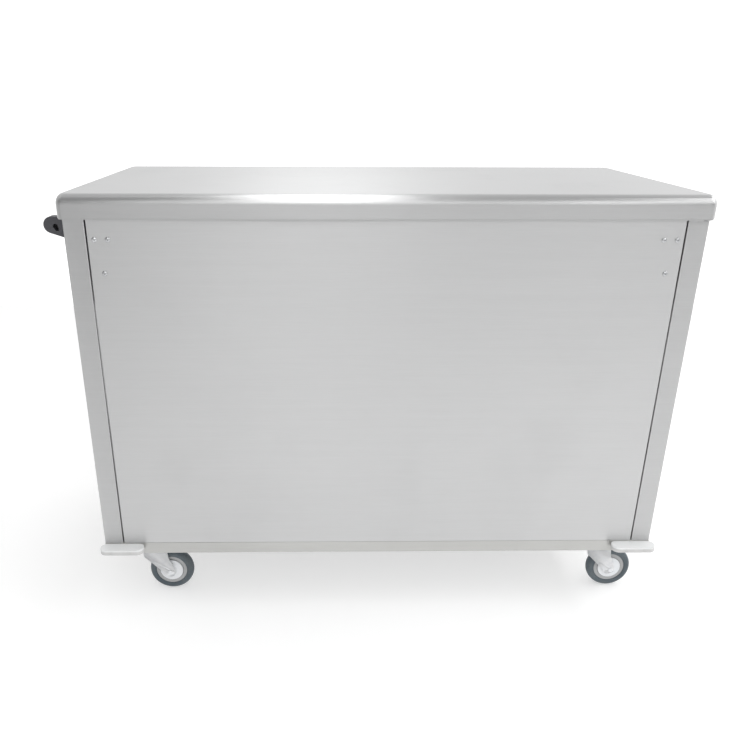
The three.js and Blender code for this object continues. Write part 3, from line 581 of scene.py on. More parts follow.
def dust_group():
    """Floor dust that lies on a tyre in patches."""
    tree, start, end = group_start(
        "Floor dust", [("Place", "NodeSocketVector", None)], [("Dust", "NodeSocketFloat")]
    )
    w = Wiring(tree)
    patches = w.noise(start.outputs["Place"], 38.0, 4.0, 0.6)
    specks = w.noise(start.outputs["Place"], 420.0, 2.0, 0.6)
    w.put(end.inputs["Dust"], w.maths("MULTIPLY", w.span(patches, 0.42, 0.7), w.span(specks, 0.4, 0.6, 0.4, 1.0)))
    return tree


GROUPS = {}
FINISHES = {}


def tint(colour, share=1.0):
    """A colour made lighter or darker by a share, as an opaque one."""
    return tuple(channel * share for channel in colour[:3]) + (1,)


def new_finish(name, roughness, metallic=0.0, **fixed):
    """A material with one Principled shader. Fixed values are set on the shader's own sockets."""
    material = bpy.data.materials.new(name)
    material.use_nodes = True
    shader = material.node_tree.nodes["Principled BSDF"]
    shader.inputs["Roughness"].default_value = roughness
    shader.inputs["Metallic"].default_value = metallic
    for label, value in fixed.items():
        shader.inputs[label.replace("_", " ")].default_value = value
    FINISHES[name] = material
    place = material.node_tree.nodes.new("ShaderNodeTexCoord").outputs["Object"]
    return Wiring(material.node_tree), shader, place


def relief(w, shader, *layers):
    """Feeds (height, strength, distance) layers to the shader's normal, one bump on another."""
    normal = None
    for height, strength, distance in layers:
        bump = w.tree.nodes.new("ShaderNodeBump")
        w.put(bump.inputs["Height"], height)
        bump.inputs["Strength"].default_value = strength
        bump.inputs["Distance"].default_value = distance
        if normal:
            w.put(bump.inputs["Normal"], normal)
        normal = bump.outputs["Normal"]
    w.put(shader.inputs["Normal"], normal)


def brushed(
    name, dark, light, along, roughness=0.36, spread=(1, 1, 1), waves=0.35,
    streaks=0.2, fineness=900.0, smudges=0.05,
):
    """Brushed stainless sheet, with its grain along one axis and its gloss spread across the grain."""
    w, shader, place = new_finish(name, roughness, 1.0, Anisotropic=0.85, Anisotropic_Rotation=0.25)
    FINISHES[name]["grain"] = "XYZ"[min(range(3), key=lambda axis: along[axis])]
    tangent = w.tree.nodes.new("ShaderNodeTangent")
    tangent.direction_type = "UV_MAP"
    tangent.uv_map = "grain"
    w.put(shader.inputs["Tangent"], tangent.outputs[0])
    grain = w.place(GROUPS["grain"], Place=place, Along=along, Fineness=fineness, Streaks=streaks)
    marks = w.place(GROUPS["handling"], Place=place, Size=5.0)
    sheet = w.place(GROUPS["sheet"], Place=place, Spread=spread)
    tone = w.blend(w.span(grain["Tone"], 0.2, 0.8), dark, light)
    tone = w.fade(marks["Smudge"], smudges, tone, tint(dark, 0.86))
    w.put(shader.inputs["Base Color"], tone)
    rough = w.lift(roughness - 0.06, grain["Roughness"], 0.10)
    w.put(shader.inputs["Roughness"], w.lift(rough, marks["Smudge"], smudges * 0.6))
    relief(
        w, shader,
        (sheet["Height"], waves, 0.02),
        (grain["Height"], 0.22, 0.0003),
        (marks["Scratch"], -0.25, 0.0002),
    )


def cast_or_plated(name, dark, light, worn_tone, roughness, metallic, pitting):
    """Zinc plate, brass and dull steel parts: a slow mottle, small pits, worn edges and painted shade in crevices.
    """
    w, shader, place = new_finish(name, roughness, metallic)
    moulded = w.place(GROUPS["moulding"], Place=place, Fineness=260.0)
    worn = w.place(GROUPS["worn"], Place=place, Reach=0.54)
    marks = w.place(GROUPS["handling"], Place=place, Size=16.0)
    tone = w.blend(moulded["Tone"], dark, light)
    # Painted shade: crevices are taken towards a darker tone of the metal.
    tone = w.fade(worn["Crevice"], 0.45, tone, tint(dark, 0.45))
    tone = w.fade(worn["Wear"], 0.6, tone, worn_tone)
    w.put(shader.inputs["Base Color"], tone)
    w.put(shader.inputs["Roughness"], w.lift(roughness, marks["Smudge"], 0.14))
    relief(w, shader, (moulded["Height"], pitting, 0.0004), (marks["Scratch"], -0.2, 0.0003))


def moulded_plastic(name, dark, light, worn_tone, roughness, fineness, bump, **fixed):
    """Moulded plastic with a fine grain, slow changes of tone and, given a tone, scuffed edges."""
    w, shader, place = new_finish(name, roughness, 0.0, **fixed)
    moulded = w.place(GROUPS["moulding"], Place=place, Fineness=fineness)
    worn = w.place(GROUPS["worn"], Place=place, Reach=0.55)
    marks = w.place(GROUPS["handling"], Place=place, Size=12.0)
    tone = w.blend(moulded["Tone"], dark, light)
    tone = w.fade(worn["Wear"], 0.25 if worn_tone else 0.0, tone, worn_tone or light)
    tone = w.fade(marks["Scratch"], 0.25, tone, worn_tone or light)
    w.put(shader.inputs["Base Color"], tone)
    w.put(shader.inputs["Roughness"], w.lift(roughness, marks["Smudge"], 0.12))
    relief(w, shader, (moulded["Height"], bump, 0.0003))


def guard_rubber(name):
    """Pale moulded rubber, painted darker below a band along its top as shade from light above."""
    w, shader, place = new_finish(name, 0.5)
    moulded = w.place(GROUPS["moulding"], Place=place, Fineness=1200.0)
    worn = w.place(GROUPS["worn"], Place=place, Reach=0.55)
    dust = w.place(GROUPS["dust"], Place=place)
    low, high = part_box("bumper_customer_left")
    axes = w.tree.nodes.new("ShaderNodeSeparateXYZ")
    w.put(axes.inputs[0], place)
    # Painted shade: below a band along its top the guard is darkened, as if lit from above.
    painted_shade_below_top = w.span(axes.outputs["Z"], high.z - 5.5 * MM, high.z - 2.5 * MM, 1.0, 0.0)
    tone = w.blend(moulded["Tone"], (0.79, 0.80, 0.80, 1), (0.85, 0.86, 0.86, 1))
    tone = w.blend(painted_shade_below_top, tone, (0.63, 0.63, 0.625, 1))
    tone = w.fade(worn["Wear"], 0.1, tone, (0.62, 0.62, 0.61, 1))
    tone = w.fade(dust["Dust"], 0.05, tone, (0.5, 0.49, 0.47, 1))
    w.put(shader.inputs["Base Color"], tone)
    w.put(shader.inputs["Roughness"], w.lift(0.48, dust["Dust"], 0.2))
    relief(w, shader, (moulded["Height"], 0.12, 0.0003))


def tyre_rubber(name):
    """Dark slate rubber with floor dust on the tread."""
    w, shader, place = new_finish(name, 0.62)
    moulded = w.place(GROUPS["moulding"], Place=place, Fineness=800.0)
    dust = w.place(GROUPS["dust"], Place=place)
    tone = w.blend(moulded["Tone"], (0.070, 0.092, 0.108, 1), (0.100, 0.128, 0.146, 1))
    tone = w.fade(dust["Dust"], 0.30, tone, (0.26, 0.26, 0.25, 1))
    w.put(shader.inputs["Base Color"], tone)
    w.put(shader.inputs["Roughness"], w.lift(0.55, dust["Dust"], 0.25))
    relief(w, shader, (moulded["Height"], 0.3, 0.0004))


def heated_sheath(name):
    """The dark sheath of a heating element, with heat tints."""
    w, shader, place = new_finish(name, 0.5, 1.0)
    moulded = w.place(GROUPS["moulding"], Place=place, Fineness=300.0)
    marks = w.place(GROUPS["handling"], Place=place, Size=9.0)
    tone = w.blend(moulded["Tone"], (0.16, 0.14, 0.13, 1), (0.34, 0.29, 0.25, 1))
    tone = w.fade(marks["Smudge"], 0.6, tone, (0.20, 0.16, 0.24, 1))
    w.put(shader.inputs["Base Color"], tone)
    relief(w, shader, (moulded["Height"], 0.3, 0.0005))


def make_finishes():
    """Builds the shared groups and every finish of the unit."""
    GROUPS.update(
        grain=grain_group(), handling=handling_group(), worn=worn_edge_group(),
        moulding=moulding_group(), sheet=sheet_group(), dust=dust_group(),
    )
    looks = bpy.context.scene.steam_table_looks
    steel = looks.steel
    dark, light = tint(steel, 0.93), tint(steel, 1.05)
    # Painted light: the panels take a lighter copy of the sheet steel, to brighten the upright panels.
    panel = tint(steel, looks.panel_share)
    lengthways = (0.02, 1, 1)
    brushed("brushed_top", dark, light, lengthways, 0.34, (0.5, 1, 1), 0.10)
    brushed("brushed_panel", tint(panel, 0.94), tint(panel, 1.04), lengthways, 0.36, (1, 1, 0.25), 0.18)
    brushed("brushed_ends", dark, light, (0.02, 0.02, 1), 0.36, (1, 1, 0.3), 0.12)
    brushed("brushed_deck", dark, light, lengthways, smudges=0.14)
    brushed("brushed_shelf", dark, light, lengthways, streaks=0.35, smudges=0.16)
    brushed("well_steel", dark, light, (1, 0.05, 1), 0.30, waves=0.1, streaks=0.3, smudges=0.14)
    brushed("satin_steel", tint(steel, 0.80), dark, (1, 1, 1), 0.46, streaks=0.3, fineness=500.0)
    # The rails' own steel colour, with a warm tint that is a painted reflection of the floor.
    brushed("base_steel", tint(looks.base, 0.94), tint(looks.base, 1.05), lengthways, 0.44)
    for name, tones, roughness, metallic, pitting in (
        ("rivets", ((0.50, 0.51, 0.52), (0.62, 0.63, 0.64), (0.8, 0.8, 0.8)), 0.32, 1.0, 0.15),
        # Painted light: the zinc is paler and less metallic than plate, to lift the casters that sit in shade
        # under the unit.
        ("zinc", ((0.80, 0.82, 0.84), (0.89, 0.90, 0.92), (0.95, 0.95, 0.96)), 0.38, 0.2, 0.10),
        ("brass", ((0.48, 0.34, 0.14), (0.66, 0.50, 0.26), (0.85, 0.70, 0.42)), 0.40, 1.0, 0.15),
    ):
        cast_or_plated(name, *map(tint, tones), roughness, metallic, pitting)
    heated_sheath("element_sheath")
    grip = tint(looks.handle, 0.85), tint(looks.handle, 1.2)
    for name, dark, light, worn, roughness, fineness, bump, fixed in (
        ("handle_plastic", *grip, (0.22, 0.22, 0.23), 0.52, 1400, 0.25, {}),
        ("handle_bar", *grip, (0.2, 0.2, 0.21), 0.46, 2200, 0.4, {}),
        ("knob_plastic", (0.018, 0.018, 0.020), (0.034, 0.034, 0.037), (0.12, 0.12, 0.12), 0.4, 1400, 0.25, {}),
        ("inlet_plastic", (0.022, 0.022, 0.024), (0.036, 0.036, 0.038), (0.12, 0.12, 0.12), 0.5, 1400, 0.25, {}),
        ("lever_grip", (0.36, 0.02, 0.02), (0.46, 0.035, 0.03), (0.2, 0.02, 0.02), 0.35, 500, 0.1, {}),
        ("switch_rocker", (0.42, 0.02, 0.02), (0.50, 0.03, 0.03), (0.6, 0.1, 0.1), 0.25, 900, 0.05, {}),
        ("lamp_lens", (0.80, 0.30, 0.03), (0.88, 0.40, 0.06), None, 0.12, 300, 0.03, {"Coat_Weight": 0.6}),
        ("wheel_core", (0.41, 0.415, 0.42), (0.47, 0.475, 0.48), (0.25, 0.26, 0.26), 0.55, 900, 0.15, {}),
        ("print_white", (0.70, 0.70, 0.68), (0.80, 0.80, 0.78), None, 0.5, 900, 0.05, {}),
        ("print_black", (0.015, 0.015, 0.016), (0.03, 0.03, 0.03), None, 0.5, 900, 0.05, {}),
    ):
        moulded_plastic(name, tint(dark), tint(light), worn and tint(worn), roughness, fineness, bump, **fixed)
    guard_rubber("bumper_rubber")
    tyre_rubber("tyre")


# ---------------------------------------------------------------- pieces


def model_cover():
    """The flat cover with its rolled edge, skirt and hem, and its stiffener."""
    sizes = bpy.context.scene.steam_table_sizes
    low, high = COVER_LOW, COVER_HIGH
    centre = (low + high) / 2
    roll, hem = sizes.edge_roll, 5 * MM
    end_roll = sizes.end_roll
    half = (high - low) / 2
    let_go()
    bpy.ops.mesh.primitive_plane_add(size=1, location=(centre.x, centre.y, low.z))
    cover = bpy.context.active_object
    cover.scale = (2 * half.x, 2 * half.y, 1)
    settle(cover, "rolled_cover")
    open_up(cover, "VERT")
    pick_all()
    bevel(sizes.cover_corner, 8, "VERTICES")
    bpy.ops.mesh.select_mode(type="FACE")
    pick_all()
    pull((0, 0, high.z - roll - low.z))
    steps = 14
    length, depth, rise = half.x, half.y, 0.0
    for step in range(1, steps + 1):
        angle = step / steps * math.pi / 2
        next_length = half.x - end_roll * (1 - math.cos(angle))
        next_depth = half.y - roll * (1 - math.cos(angle))
        next_rise = roll * math.sin(angle)
        pull((0, 0, next_rise - rise))
        bpy.ops.transform.resize(value=(next_length / length, next_depth / depth, 1), center_override=centre)
        length, depth, rise = next_length, next_depth, next_rise
    bpy.ops.mesh.inset(thickness=3 * MM)
    bpy.ops.mesh.select_mode(type="EDGE")
    pick_edges(cover, lambda a, b: at(low.z, a.z, b.z))
    pull_edges((0, 0, 0))
    bpy.ops.transform.resize(
        value=((half.x - hem) / half.x, (half.y - hem) / half.y, 1), center_override=centre
    )
    pull_edges((0, 0, 3 * MM))
    close_up()
    outward(cover)
    thicken(cover, 1.5 * MM)
    smooth(cover, 50)
    finished(cover, "cover", "brushed_top", "top_cover")
    stiffener = reworked("cover_stiffener", "cover_channels", 0.6 * MM, 2)
    finished(stiffener, "cover", "satin_steel", "cover_stiffener")


def model_customer_panel():
    """The customer panel, folded back along its four edges, and the blind rivets of its backing plates."""
    low, high = PANEL_LOW, PANEL_HIGH
    panel = block("folded_customer_panel", low, high)
    open_up(panel)
    pick_faces(panel, lambda centre, normal: normal.y > 0.9)
    bpy.ops.mesh.delete(type="FACE")
    pick_edges(panel, lambda a, b: at(low.z, a.z, b.z) and a.y + b.y < 2 * low.y + TINY)
    bevel(0.5 * MM, 2)
    pick_edges(panel, lambda a, b: max(a.z, b.z) - low.z > 0.01 and not at(high.y, a.y, b.y))
    bevel(1.4 * MM, 4)
    close_up()
    thicken(panel, 1.2 * MM)
    smooth(panel, 40)
    finished(panel, "cabinet", "brushed_panel", "customer_panel")
    for side in ("left", "right"):
        model_rivets(side)


def model_rivets(side):
    """A backing plate behind the panel with its three blind rivets."""
    node = f"tray_rail_plate_{side}"
    low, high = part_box(node)
    plate = block(f"backing_plate_{side}", (low.x, PANEL_LOW.y + 1.5 * MM, low.z), high)
    soften(plate, 0.8 * MM, 2)
    profile = (
        (0, -1.1), (1.5, -1.1), (1.7, -2.4), (2.3, -2.6), (3.6, -2.1), (4.6, -1.2),
        (5.0, -0.35), (5.0, -0.02), (2.5, 0.0), (2.5, 4.5), (0, 4.5),
    )
    head = turned("rivet", in_mm(profile), axis="Y", steps=28, shade=40)
    middle = (low.x + high.x) / 2
    upper, lower = high.z - 10 * MM, low.z + 10 * MM
    apart = 12.5 * MM
    places = ((middle - apart, upper), (middle + apart, upper), (middle, lower))
    heads = [
        copy_of(head, f"rivet_{number}", (x, PANEL_LOW.y, z))
        for number, (x, z) in enumerate(places)
    ]
    bpy.data.objects.remove(head)
    riveted = gather(f"riveted_plate_{side}", plate, *heads)
    finished(riveted, "cabinet", "rivets", node)


def model_end_panels():
    """The two end panels, each one sheet folded round both corners of the body."""
    for side, sign in (("left", -1), ("right", 1)):
        node = f"end_panel_{side}"
        low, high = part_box(node)
        inner, outer = (low.x, high.x) if sign > 0 else (high.x, low.x)
        flange = 14 * MM
        points = [
            (inner, low.y + flange, low.z), (inner, low.y, low.z), (outer, low.y, low.z),
            (outer, high.y, low.z), (inner, high.y, low.z), (inner, high.y - flange, low.z),
        ]
        inside = ((outer + inner) / 2, 0, (low.z + high.z) / 2)
        panel = folded(f"folded_end_{side}", points, (0, 0, high.z - low.z), 2.2 * MM, 1.2 * MM, inside)
        if sign > 0:
            corner, past = outer - 4 * MM, 5 * MM
            start = (corner - 7 * MM, low.y - past, COVER_LOW.z - 4 * MM)
            cut(panel, block("relief", start, (corner, low.y + past, high.z + past)))
        smooth(panel, 35)
        finished(panel, "cabinet", "brushed_ends", node)


def model_rail(face):
    """One hollow base rail, rounder below than above, with a plate set in each end."""
    node = f"base_rail_{face}"
    low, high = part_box(node)
    rail = block(f"tube_rail_{face}", low, high)
    open_up(rail)
    pick_faces(rail, lambda centre, normal: abs(normal.x) > 0.9)
    bpy.ops.mesh.delete(type="FACE")
    middle = (low.z + high.z) / 2
    pick_edges(rail, lambda a, b: abs(a.x - b.x) > 0.5 and a.z < middle)
    bevel(2.5 * MM, 5)
    bpy.ops.mesh.select_all(action="DESELECT")
    pick_edges(rail, lambda a, b: abs(a.x - b.x) > 0.5 and a.z > middle + 5 * MM)
    bevel(0.5 * MM, 2)
    close_up()
    thicken(rail, 2 * MM)
    smooth(rail, 40)
    ends = []
    wall = 1.9 * MM
    for side, x, inwards in (("left", low.x, 1), ("right", high.x, -1)):
        near, far = sorted((x + inwards * 0.8 * MM, x + inwards * 4 * MM))
        start, stop = (near, low.y + wall, low.z + wall), (far, high.y - wall, high.z - wall)
        ends.append(soften(block(f"rail_end_{side}", start, stop), 0.5 * MM, 2))
    rail = gather(f"tube_rail_{face}", rail, *ends)
    finished(rail, "cabinet", "base_steel", node)


def model_base():
    """Base rails, end channels, shelf, deck and housing."""
    for face in ("customer", "operator"):
        model_rail(face)
    for node, slot, width in (
        ("base_channel_left", "base_steel", 1.0), ("base_channel_right", "base_steel", 1.0),
        ("bottom_shelf", "brushed_shelf", 0.5), ("well_deck", "brushed_deck", 0.5),
        ("well_housing", "satin_steel", 0.4),
    ):
        finished(reworked(node, f"{node}_sheet", width * MM), "cabinet", slot, node)


def corner_sides(corner):
    """The signs of a corner along X and Y: left is -X and the customer side is -Y."""
    return (-1 if corner.endswith("left") else 1), (-1 if corner.startswith("customer") else 1)


def quarter(centre, radius, way_x, way_y, steps):
    """Points along a quarter circle round a centre, from its side in X to its side in Y."""
    points = []
    for step in range(steps + 1):
        angle = math.radians(90 * step / steps)
        reach = Vector((way_x * math.cos(angle), way_y * math.sin(angle), 0))
        points.append(Vector(centre) + reach * radius)
    return points


def model_bumpers():
    """Four short soft guards across the ends of the base rails, each held by two plugged screws."""
    rounded = bpy.context.scene.steam_table_sizes.guard_round
    outer, inner, trim = 15 * MM, 11 * MM, 2.2 * MM
    plug_profile = in_mm(((0, -3.2), (2.9, -3.2), (2.9, -0.5), (2.4, -0.1), (1.3, 0.15), (0, 0.2)))
    for corner in CORNERS:
        node = f"bumper_{corner}"
        low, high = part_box(node)
        side, face = corner_sides(corner)
        front, back = (high.y, low.y) if face > 0 else (low.y, high.y)
        left, right = (low.x, high.x - trim) if side > 0 else (low.x + trim, high.x)
        outline = []
        for x, inwards in ((left, 1), (right, -1)):
            near = quarter((x + inwards * inner, back + face * inner, low.z), inner, -inwards, -face, 4)
            far = quarter((x + inwards * outer, front - face * outer, low.z), outer, -inwards, face, 9)
            chain = near[::-1] + far
            outline += chain if inwards > 0 else chain[::-1]
        guard = slab(f"guard_{corner}", outline, (0, 0, high.z - low.z))
        open_up(guard, "EDGE")
        pick_edges(guard, lambda a, b: at(a.z, b.z) and face * ((a.y + b.y) / 2 - back) > inner)
        bpy.ops.mesh.bevel(offset=rounded, segments=6, affect="EDGES", clamp_overlap=True)
        close_up()
        level = (low.z + high.z) / 2 - 0.8 * MM
        start = right if side > 0 else left
        plugs = []
        for away in (27 * MM, 67 * MM):
            mouth = Vector((start - side * away, front, level))
            push = Vector((0, face, 0))
            cut(guard, bar("bore", mouth - push * 3 * MM, mouth + push * MM, 3.2 * MM, 32))
            plug = turned("plug", plug_profile, axis="Y", steps=28, shade=35)
            plugs.append(copy_of(plug, f"plug_{len(plugs)}", mouth, 0 if face > 0 else 180))
            bpy.data.objects.remove(plug)
        smooth(guard, 40)
        guard = gather(f"guard_{corner}", guard, *plugs)
        finished(guard, "cabinet", "bumper_rubber", node)


def cross_screw(name, seat, direction, radius):
    """A pan-head screw with a cross recess, its head standing on a seat."""
    high = radius * 0.55
    profile = ((0, -2), (0.5, -2), (0.5, 0), (1, 0), (1, 0.35), (0.88, 0.7), (0.6, 0.93), (0, 1))
    head = turned(name, [(radius * r, high * h) for r, h in profile], steps=24)
    arm, wide = radius * 0.52, radius * 0.13
    for x, y in ((arm, wide), (wide, arm)):
        cut(head, block("slot", (-x, -y, high * 0.35), (x, y, high * 2)))
    return stand(smooth(head, 40), name, seat, direction)


def hex_bolt(name, seat, direction, across, high, washer=True):
    """A hexagon head with a chamfer, on a washer."""
    let_go()
    bpy.ops.mesh.primitive_cylinder_add(
        vertices=6, radius=across / math.sqrt(3), depth=high, location=(0, 0, high / 2)
    )
    head = settle(bpy.context.active_object, name)
    profile = [(0, -MM), (across, -MM)]
    profile += [(across * r, high * h) for r, h in ((1, 0.55), (0.52, 0.94), (0.40, 1), (0, 1))]
    combine(head, turned("crown", profile, steps=24), "INTERSECT")
    smooth(head, 25)
    if washer:
        profile = [(across * r, high * h) for r, h in ((0.2, -0.24), (0.78, -0.24), (0.82, -0.14))]
        profile += [(across * 0.78, 0.05 * MM), (across * 0.2, 0.05 * MM)]
        head = gather(name, head, turned("washer", profile, steps=28, closed=True, shade=30))
    return stand(head, name, seat, direction)


def arc(centre, radius, start, stop, steps):
    """Points along an upright arc that looks along Y, between two angles in degrees."""
    points = []
    for step in range(steps + 1):
        angle = math.radians(start + (stop - start) * step / steps)
        points.append(Vector(centre) + Vector((math.cos(angle), 0, math.sin(angle))) * radius)
    return points


def caster_plate(top, fork_top):
    """The plate with its four bolts, the raceway and the kingpin."""
    plate = block("plate", (-47.5 * MM, -35 * MM, top - 3 * MM), (47.5 * MM, 35 * MM, top))
    open_up(plate, "EDGE")
    pick_edges(plate, lambda a, b: abs(a.z - b.z) > 1e-4)
    bevel(6 * MM, 6)
    close_up()
    soften(plate, 0.5 * MM, 2)
    profile = (
        (0, 2.5), (28, 2.5), (28, 5), (27.4, 7), (26, 8.2), (24.5, 8.6), (24.5, 11.9), (0, 11.9),
    )
    race = turned("race", [(r * MM, top - drop * MM) for r, drop in profile], steps=56, shade=40)
    profile = ((0, -8.5), (5, -8.5), (6, -7.4), (6, 0.2), (0, 0.2))
    pin = turned("kingpin", [(r * MM, fork_top + h * MM) for r, h in profile], steps=32, shade=40)
    nut = hex_bolt("kingpin_nut", (0, 0, fork_top - 4 * MM), -UP, 16 * MM, 4 * MM, washer=False)
    bolts = [
        hex_bolt(f"bolt_{sx}_{sy}", (sx * 37.5 * MM, sy * 25 * MM, top - 3 * MM), -UP, 12.5 * MM, 4.6 * MM)
        for sx in (-1, 1) for sy in (-1, 1)
    ]
    return gather("plate_and_race", plate, race, pin, nut, *bolts)


def caster_fork(trail, axle_z, fork_top, face, sheet):
    """The pressed fork with its slanted legs, and a dished thread guard inside each leg."""
    start, far = -40 * MM, 60 * MM
    shell = folded(
        "fork_shell", [(start, -face, 0), (start, -face, fork_top), (start, face, fork_top), (start, face, 0)],
        (120 * MM, 0, 0), 4.5 * MM, sheet, (0, 0, 0), 6,
    )
    outline = [(-27 * MM, fork_top + 1 * MM), (-25 * MM, fork_top - 12 * MM), (-20.5 * MM, axle_z + 42 * MM)]
    boss = arc((trail - 3 * MM, 0, axle_z), 13 * MM, 188, 360 + 14, 16)
    outline += [(point.x, point.z) for point in boss]
    outline += [
        (trail + 5.5 * MM, axle_z + 16 * MM), (trail - 3 * MM, axle_z + 35 * MM),
        (trail - 8 * MM, fork_top - 12 * MM), (trail - 10 * MM, fork_top + 1 * MM),
    ]
    profile = slab("fork_profile", [(x, -far, z) for x, z in outline], (0, 2 * far, 0))
    combine(shell, profile, "INTERSECT")
    profile = (
        (6.4, -3), (33.2, -3), (34, -2.2), (34, -0.8), (33.2, -0.05), (6.4, -0.05),
    )
    crown = turned("crown", [(r * MM, fork_top + h * MM) for r, h in profile], steps=56, closed=True)
    cut(shell, bar("pin_hole", (0, 0, fork_top - 9 * MM), (0, 0, fork_top + 5 * MM), 6.4 * MM))
    combine(shell, crown, "UNION")
    cut(shell, bar("axle_hole", (trail, -far, axle_z), (trail, far, axle_z), 4.3 * MM, 32))
    soften(shell, 0.6 * MM, 2, 50)
    profile = (
        (4.3, 17.6), (9.5, 17.6), (13.0, 13.6), (24.8, 12.6), (26.1, 12.2), (26.5, 11.4), (26.5, 9.8),
        (25.4, 9.8), (25.4, 11.2), (24.4, 11.7), (12.6, 12.6), (9.0, 16.6), (4.3, 16.6),
    )
    guards = []
    for side in (-1, 1):
        section = [(r * MM, side * h * MM) for r, h in profile]
        guards.append(turned(f"thread_guard_{side}", section, (trail, 0, axle_z), "Y", 56, True, 40))
    return gather("fork", shell, *guards)


def caster_axle(trail, axle_z, face):
    """The axle with its head and its nut."""
    axle = bar("axle", (trail, -face - 1 * MM, axle_z), (trail, face + 9 * MM, axle_z), 4 * MM, 32)
    soften(axle, 0.6 * MM, 2)
    head = hex_bolt("axle_head", (trail, -face - 0.5 * MM, axle_z), (0, -1, 0), 10.5 * MM, 3.4 * MM, washer=False)
    nut = hex_bolt("axle_nut", (trail, face + 1.2 * MM, axle_z), (0, 1, 0), 12.8 * MM, 5.6 * MM)
    return gather("axle", axle, head, nut)


def wheel_core(hub):
    """The moulded core: hub, dished web and rim."""
    near = (
        (4.4, 15.8), (7.4, 15.8), (8.0, 15.2), (9.8, 11.6), (14.0, 10.6), (15.2, 8.6), (17.5, 7.6),
        (25.6, 7.6), (26.8, 8.4), (27.5, 9.8), (28.3, 10.2), (34.4, 10.3), (35.4, 9.9),
    )
    rim = [(r, -h) for r, h in near] + list(near[::-1])
    return turned("core", in_mm(rim), hub, "Y", 72, True, 32)


def wheel_tyre(hub, radius):
    """The tyre, with a round tread."""
    edge, half, crown = radius / MM, 13.0, 8.5
    shoulder = [(35.6, 10.6), (36.6, 11.6), (38.4, 12.6), (edge - crown, half)]
    for step in range(1, 12):
        angle = step / 12 * math.pi / 2
        shoulder.append((edge - crown + crown * math.sin(angle), half * math.cos(angle)))
    tread = [(r, -h) for r, h in shoulder] + [(edge, 0.0)] + shoulder[::-1]
    return turned("tyre", in_mm(tread), hub, "Y", 96, True, 32)


def model_casters():
    """Four swivel casters: plate with bolts and race, pressed fork, thread guards, axle, core, tyre and pedal."""
    plate_low, plate_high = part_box("caster_plate_customer_left")
    tyre_low, tyre_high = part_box("tyre_customer_left")
    axis = (plate_low + plate_high) / 2
    axis.z = 0
    wheel = (tyre_low + tyre_high) / 2 - axis
    trail, axle_z = wheel.x, wheel.z
    fork_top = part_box("caster_fork_customer_left")[1].z
    sheet = 3 * MM
    face = 18 * MM + sheet
    hub = (trail, 0, axle_z)
    made = {
        "caster_plate": caster_plate(plate_high.z, fork_top),
        "caster_fork": caster_fork(trail, axle_z, fork_top, face, sheet),
        "caster_axle": caster_axle(trail, axle_z, face),
        "wheel_core": wheel_core(hub),
        "tyre": wheel_tyre(hub, (tyre_high.z - tyre_low.z) / 2),
    }
    finishes = {"wheel_core": "wheel_core", "tyre": "tyre"}
    for corner in CORNERS:
        low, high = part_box(f"caster_plate_{corner}")
        shift = (low + high) / 2
        shift.z = 0
        for part, original in made.items():
            node = f"{part}_{corner}"
            piece = copy_of(original, f"{part}_made_{corner}", shift)
            finished(piece, home_of(node), finishes.get(part, "zinc"), node)
        if corner.startswith("operator"):
            model_pedal(corner, shift)
    for piece in made.values():
        bpy.data.objects.remove(piece)


def home_of(node):
    """The body that a frame node belongs to."""
    return frame["nodes"][node]["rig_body"]


def model_pedal(corner, shift):
    """A folded brake pedal with grip ribs and its shoe, on its pin."""
    node = f"brake_pedal_{corner}"
    pedal = reworked(node, f"pedal_plate_{corner}", 0.9 * MM, 3, 25)
    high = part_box(node)[1]
    ribs = []
    for number in range(4):
        x = high.x - (5.5 + 4.2 * number) * MM
        hold(pedal)
        hit, place, _, _ = pedal.ray_cast((x, shift.y, high.z + 0.05), (0, 0, -1))
        if not hit:
            raise RuntimeError(f"no pedal under the rib at {x}")
        start = (x - 0.9 * MM, shift.y - 10 * MM, place.z - 1.2 * MM)
        stop = (x + 0.9 * MM, shift.y + 10 * MM, place.z + 0.9 * MM)
        ribs.append(soften(block(f"rib_{number}", start, stop), 0.5 * MM, 2))
    pedal = gather(f"pedal_{corner}", pedal, *ribs)
    finished(pedal, home_of(node), "zinc", node)


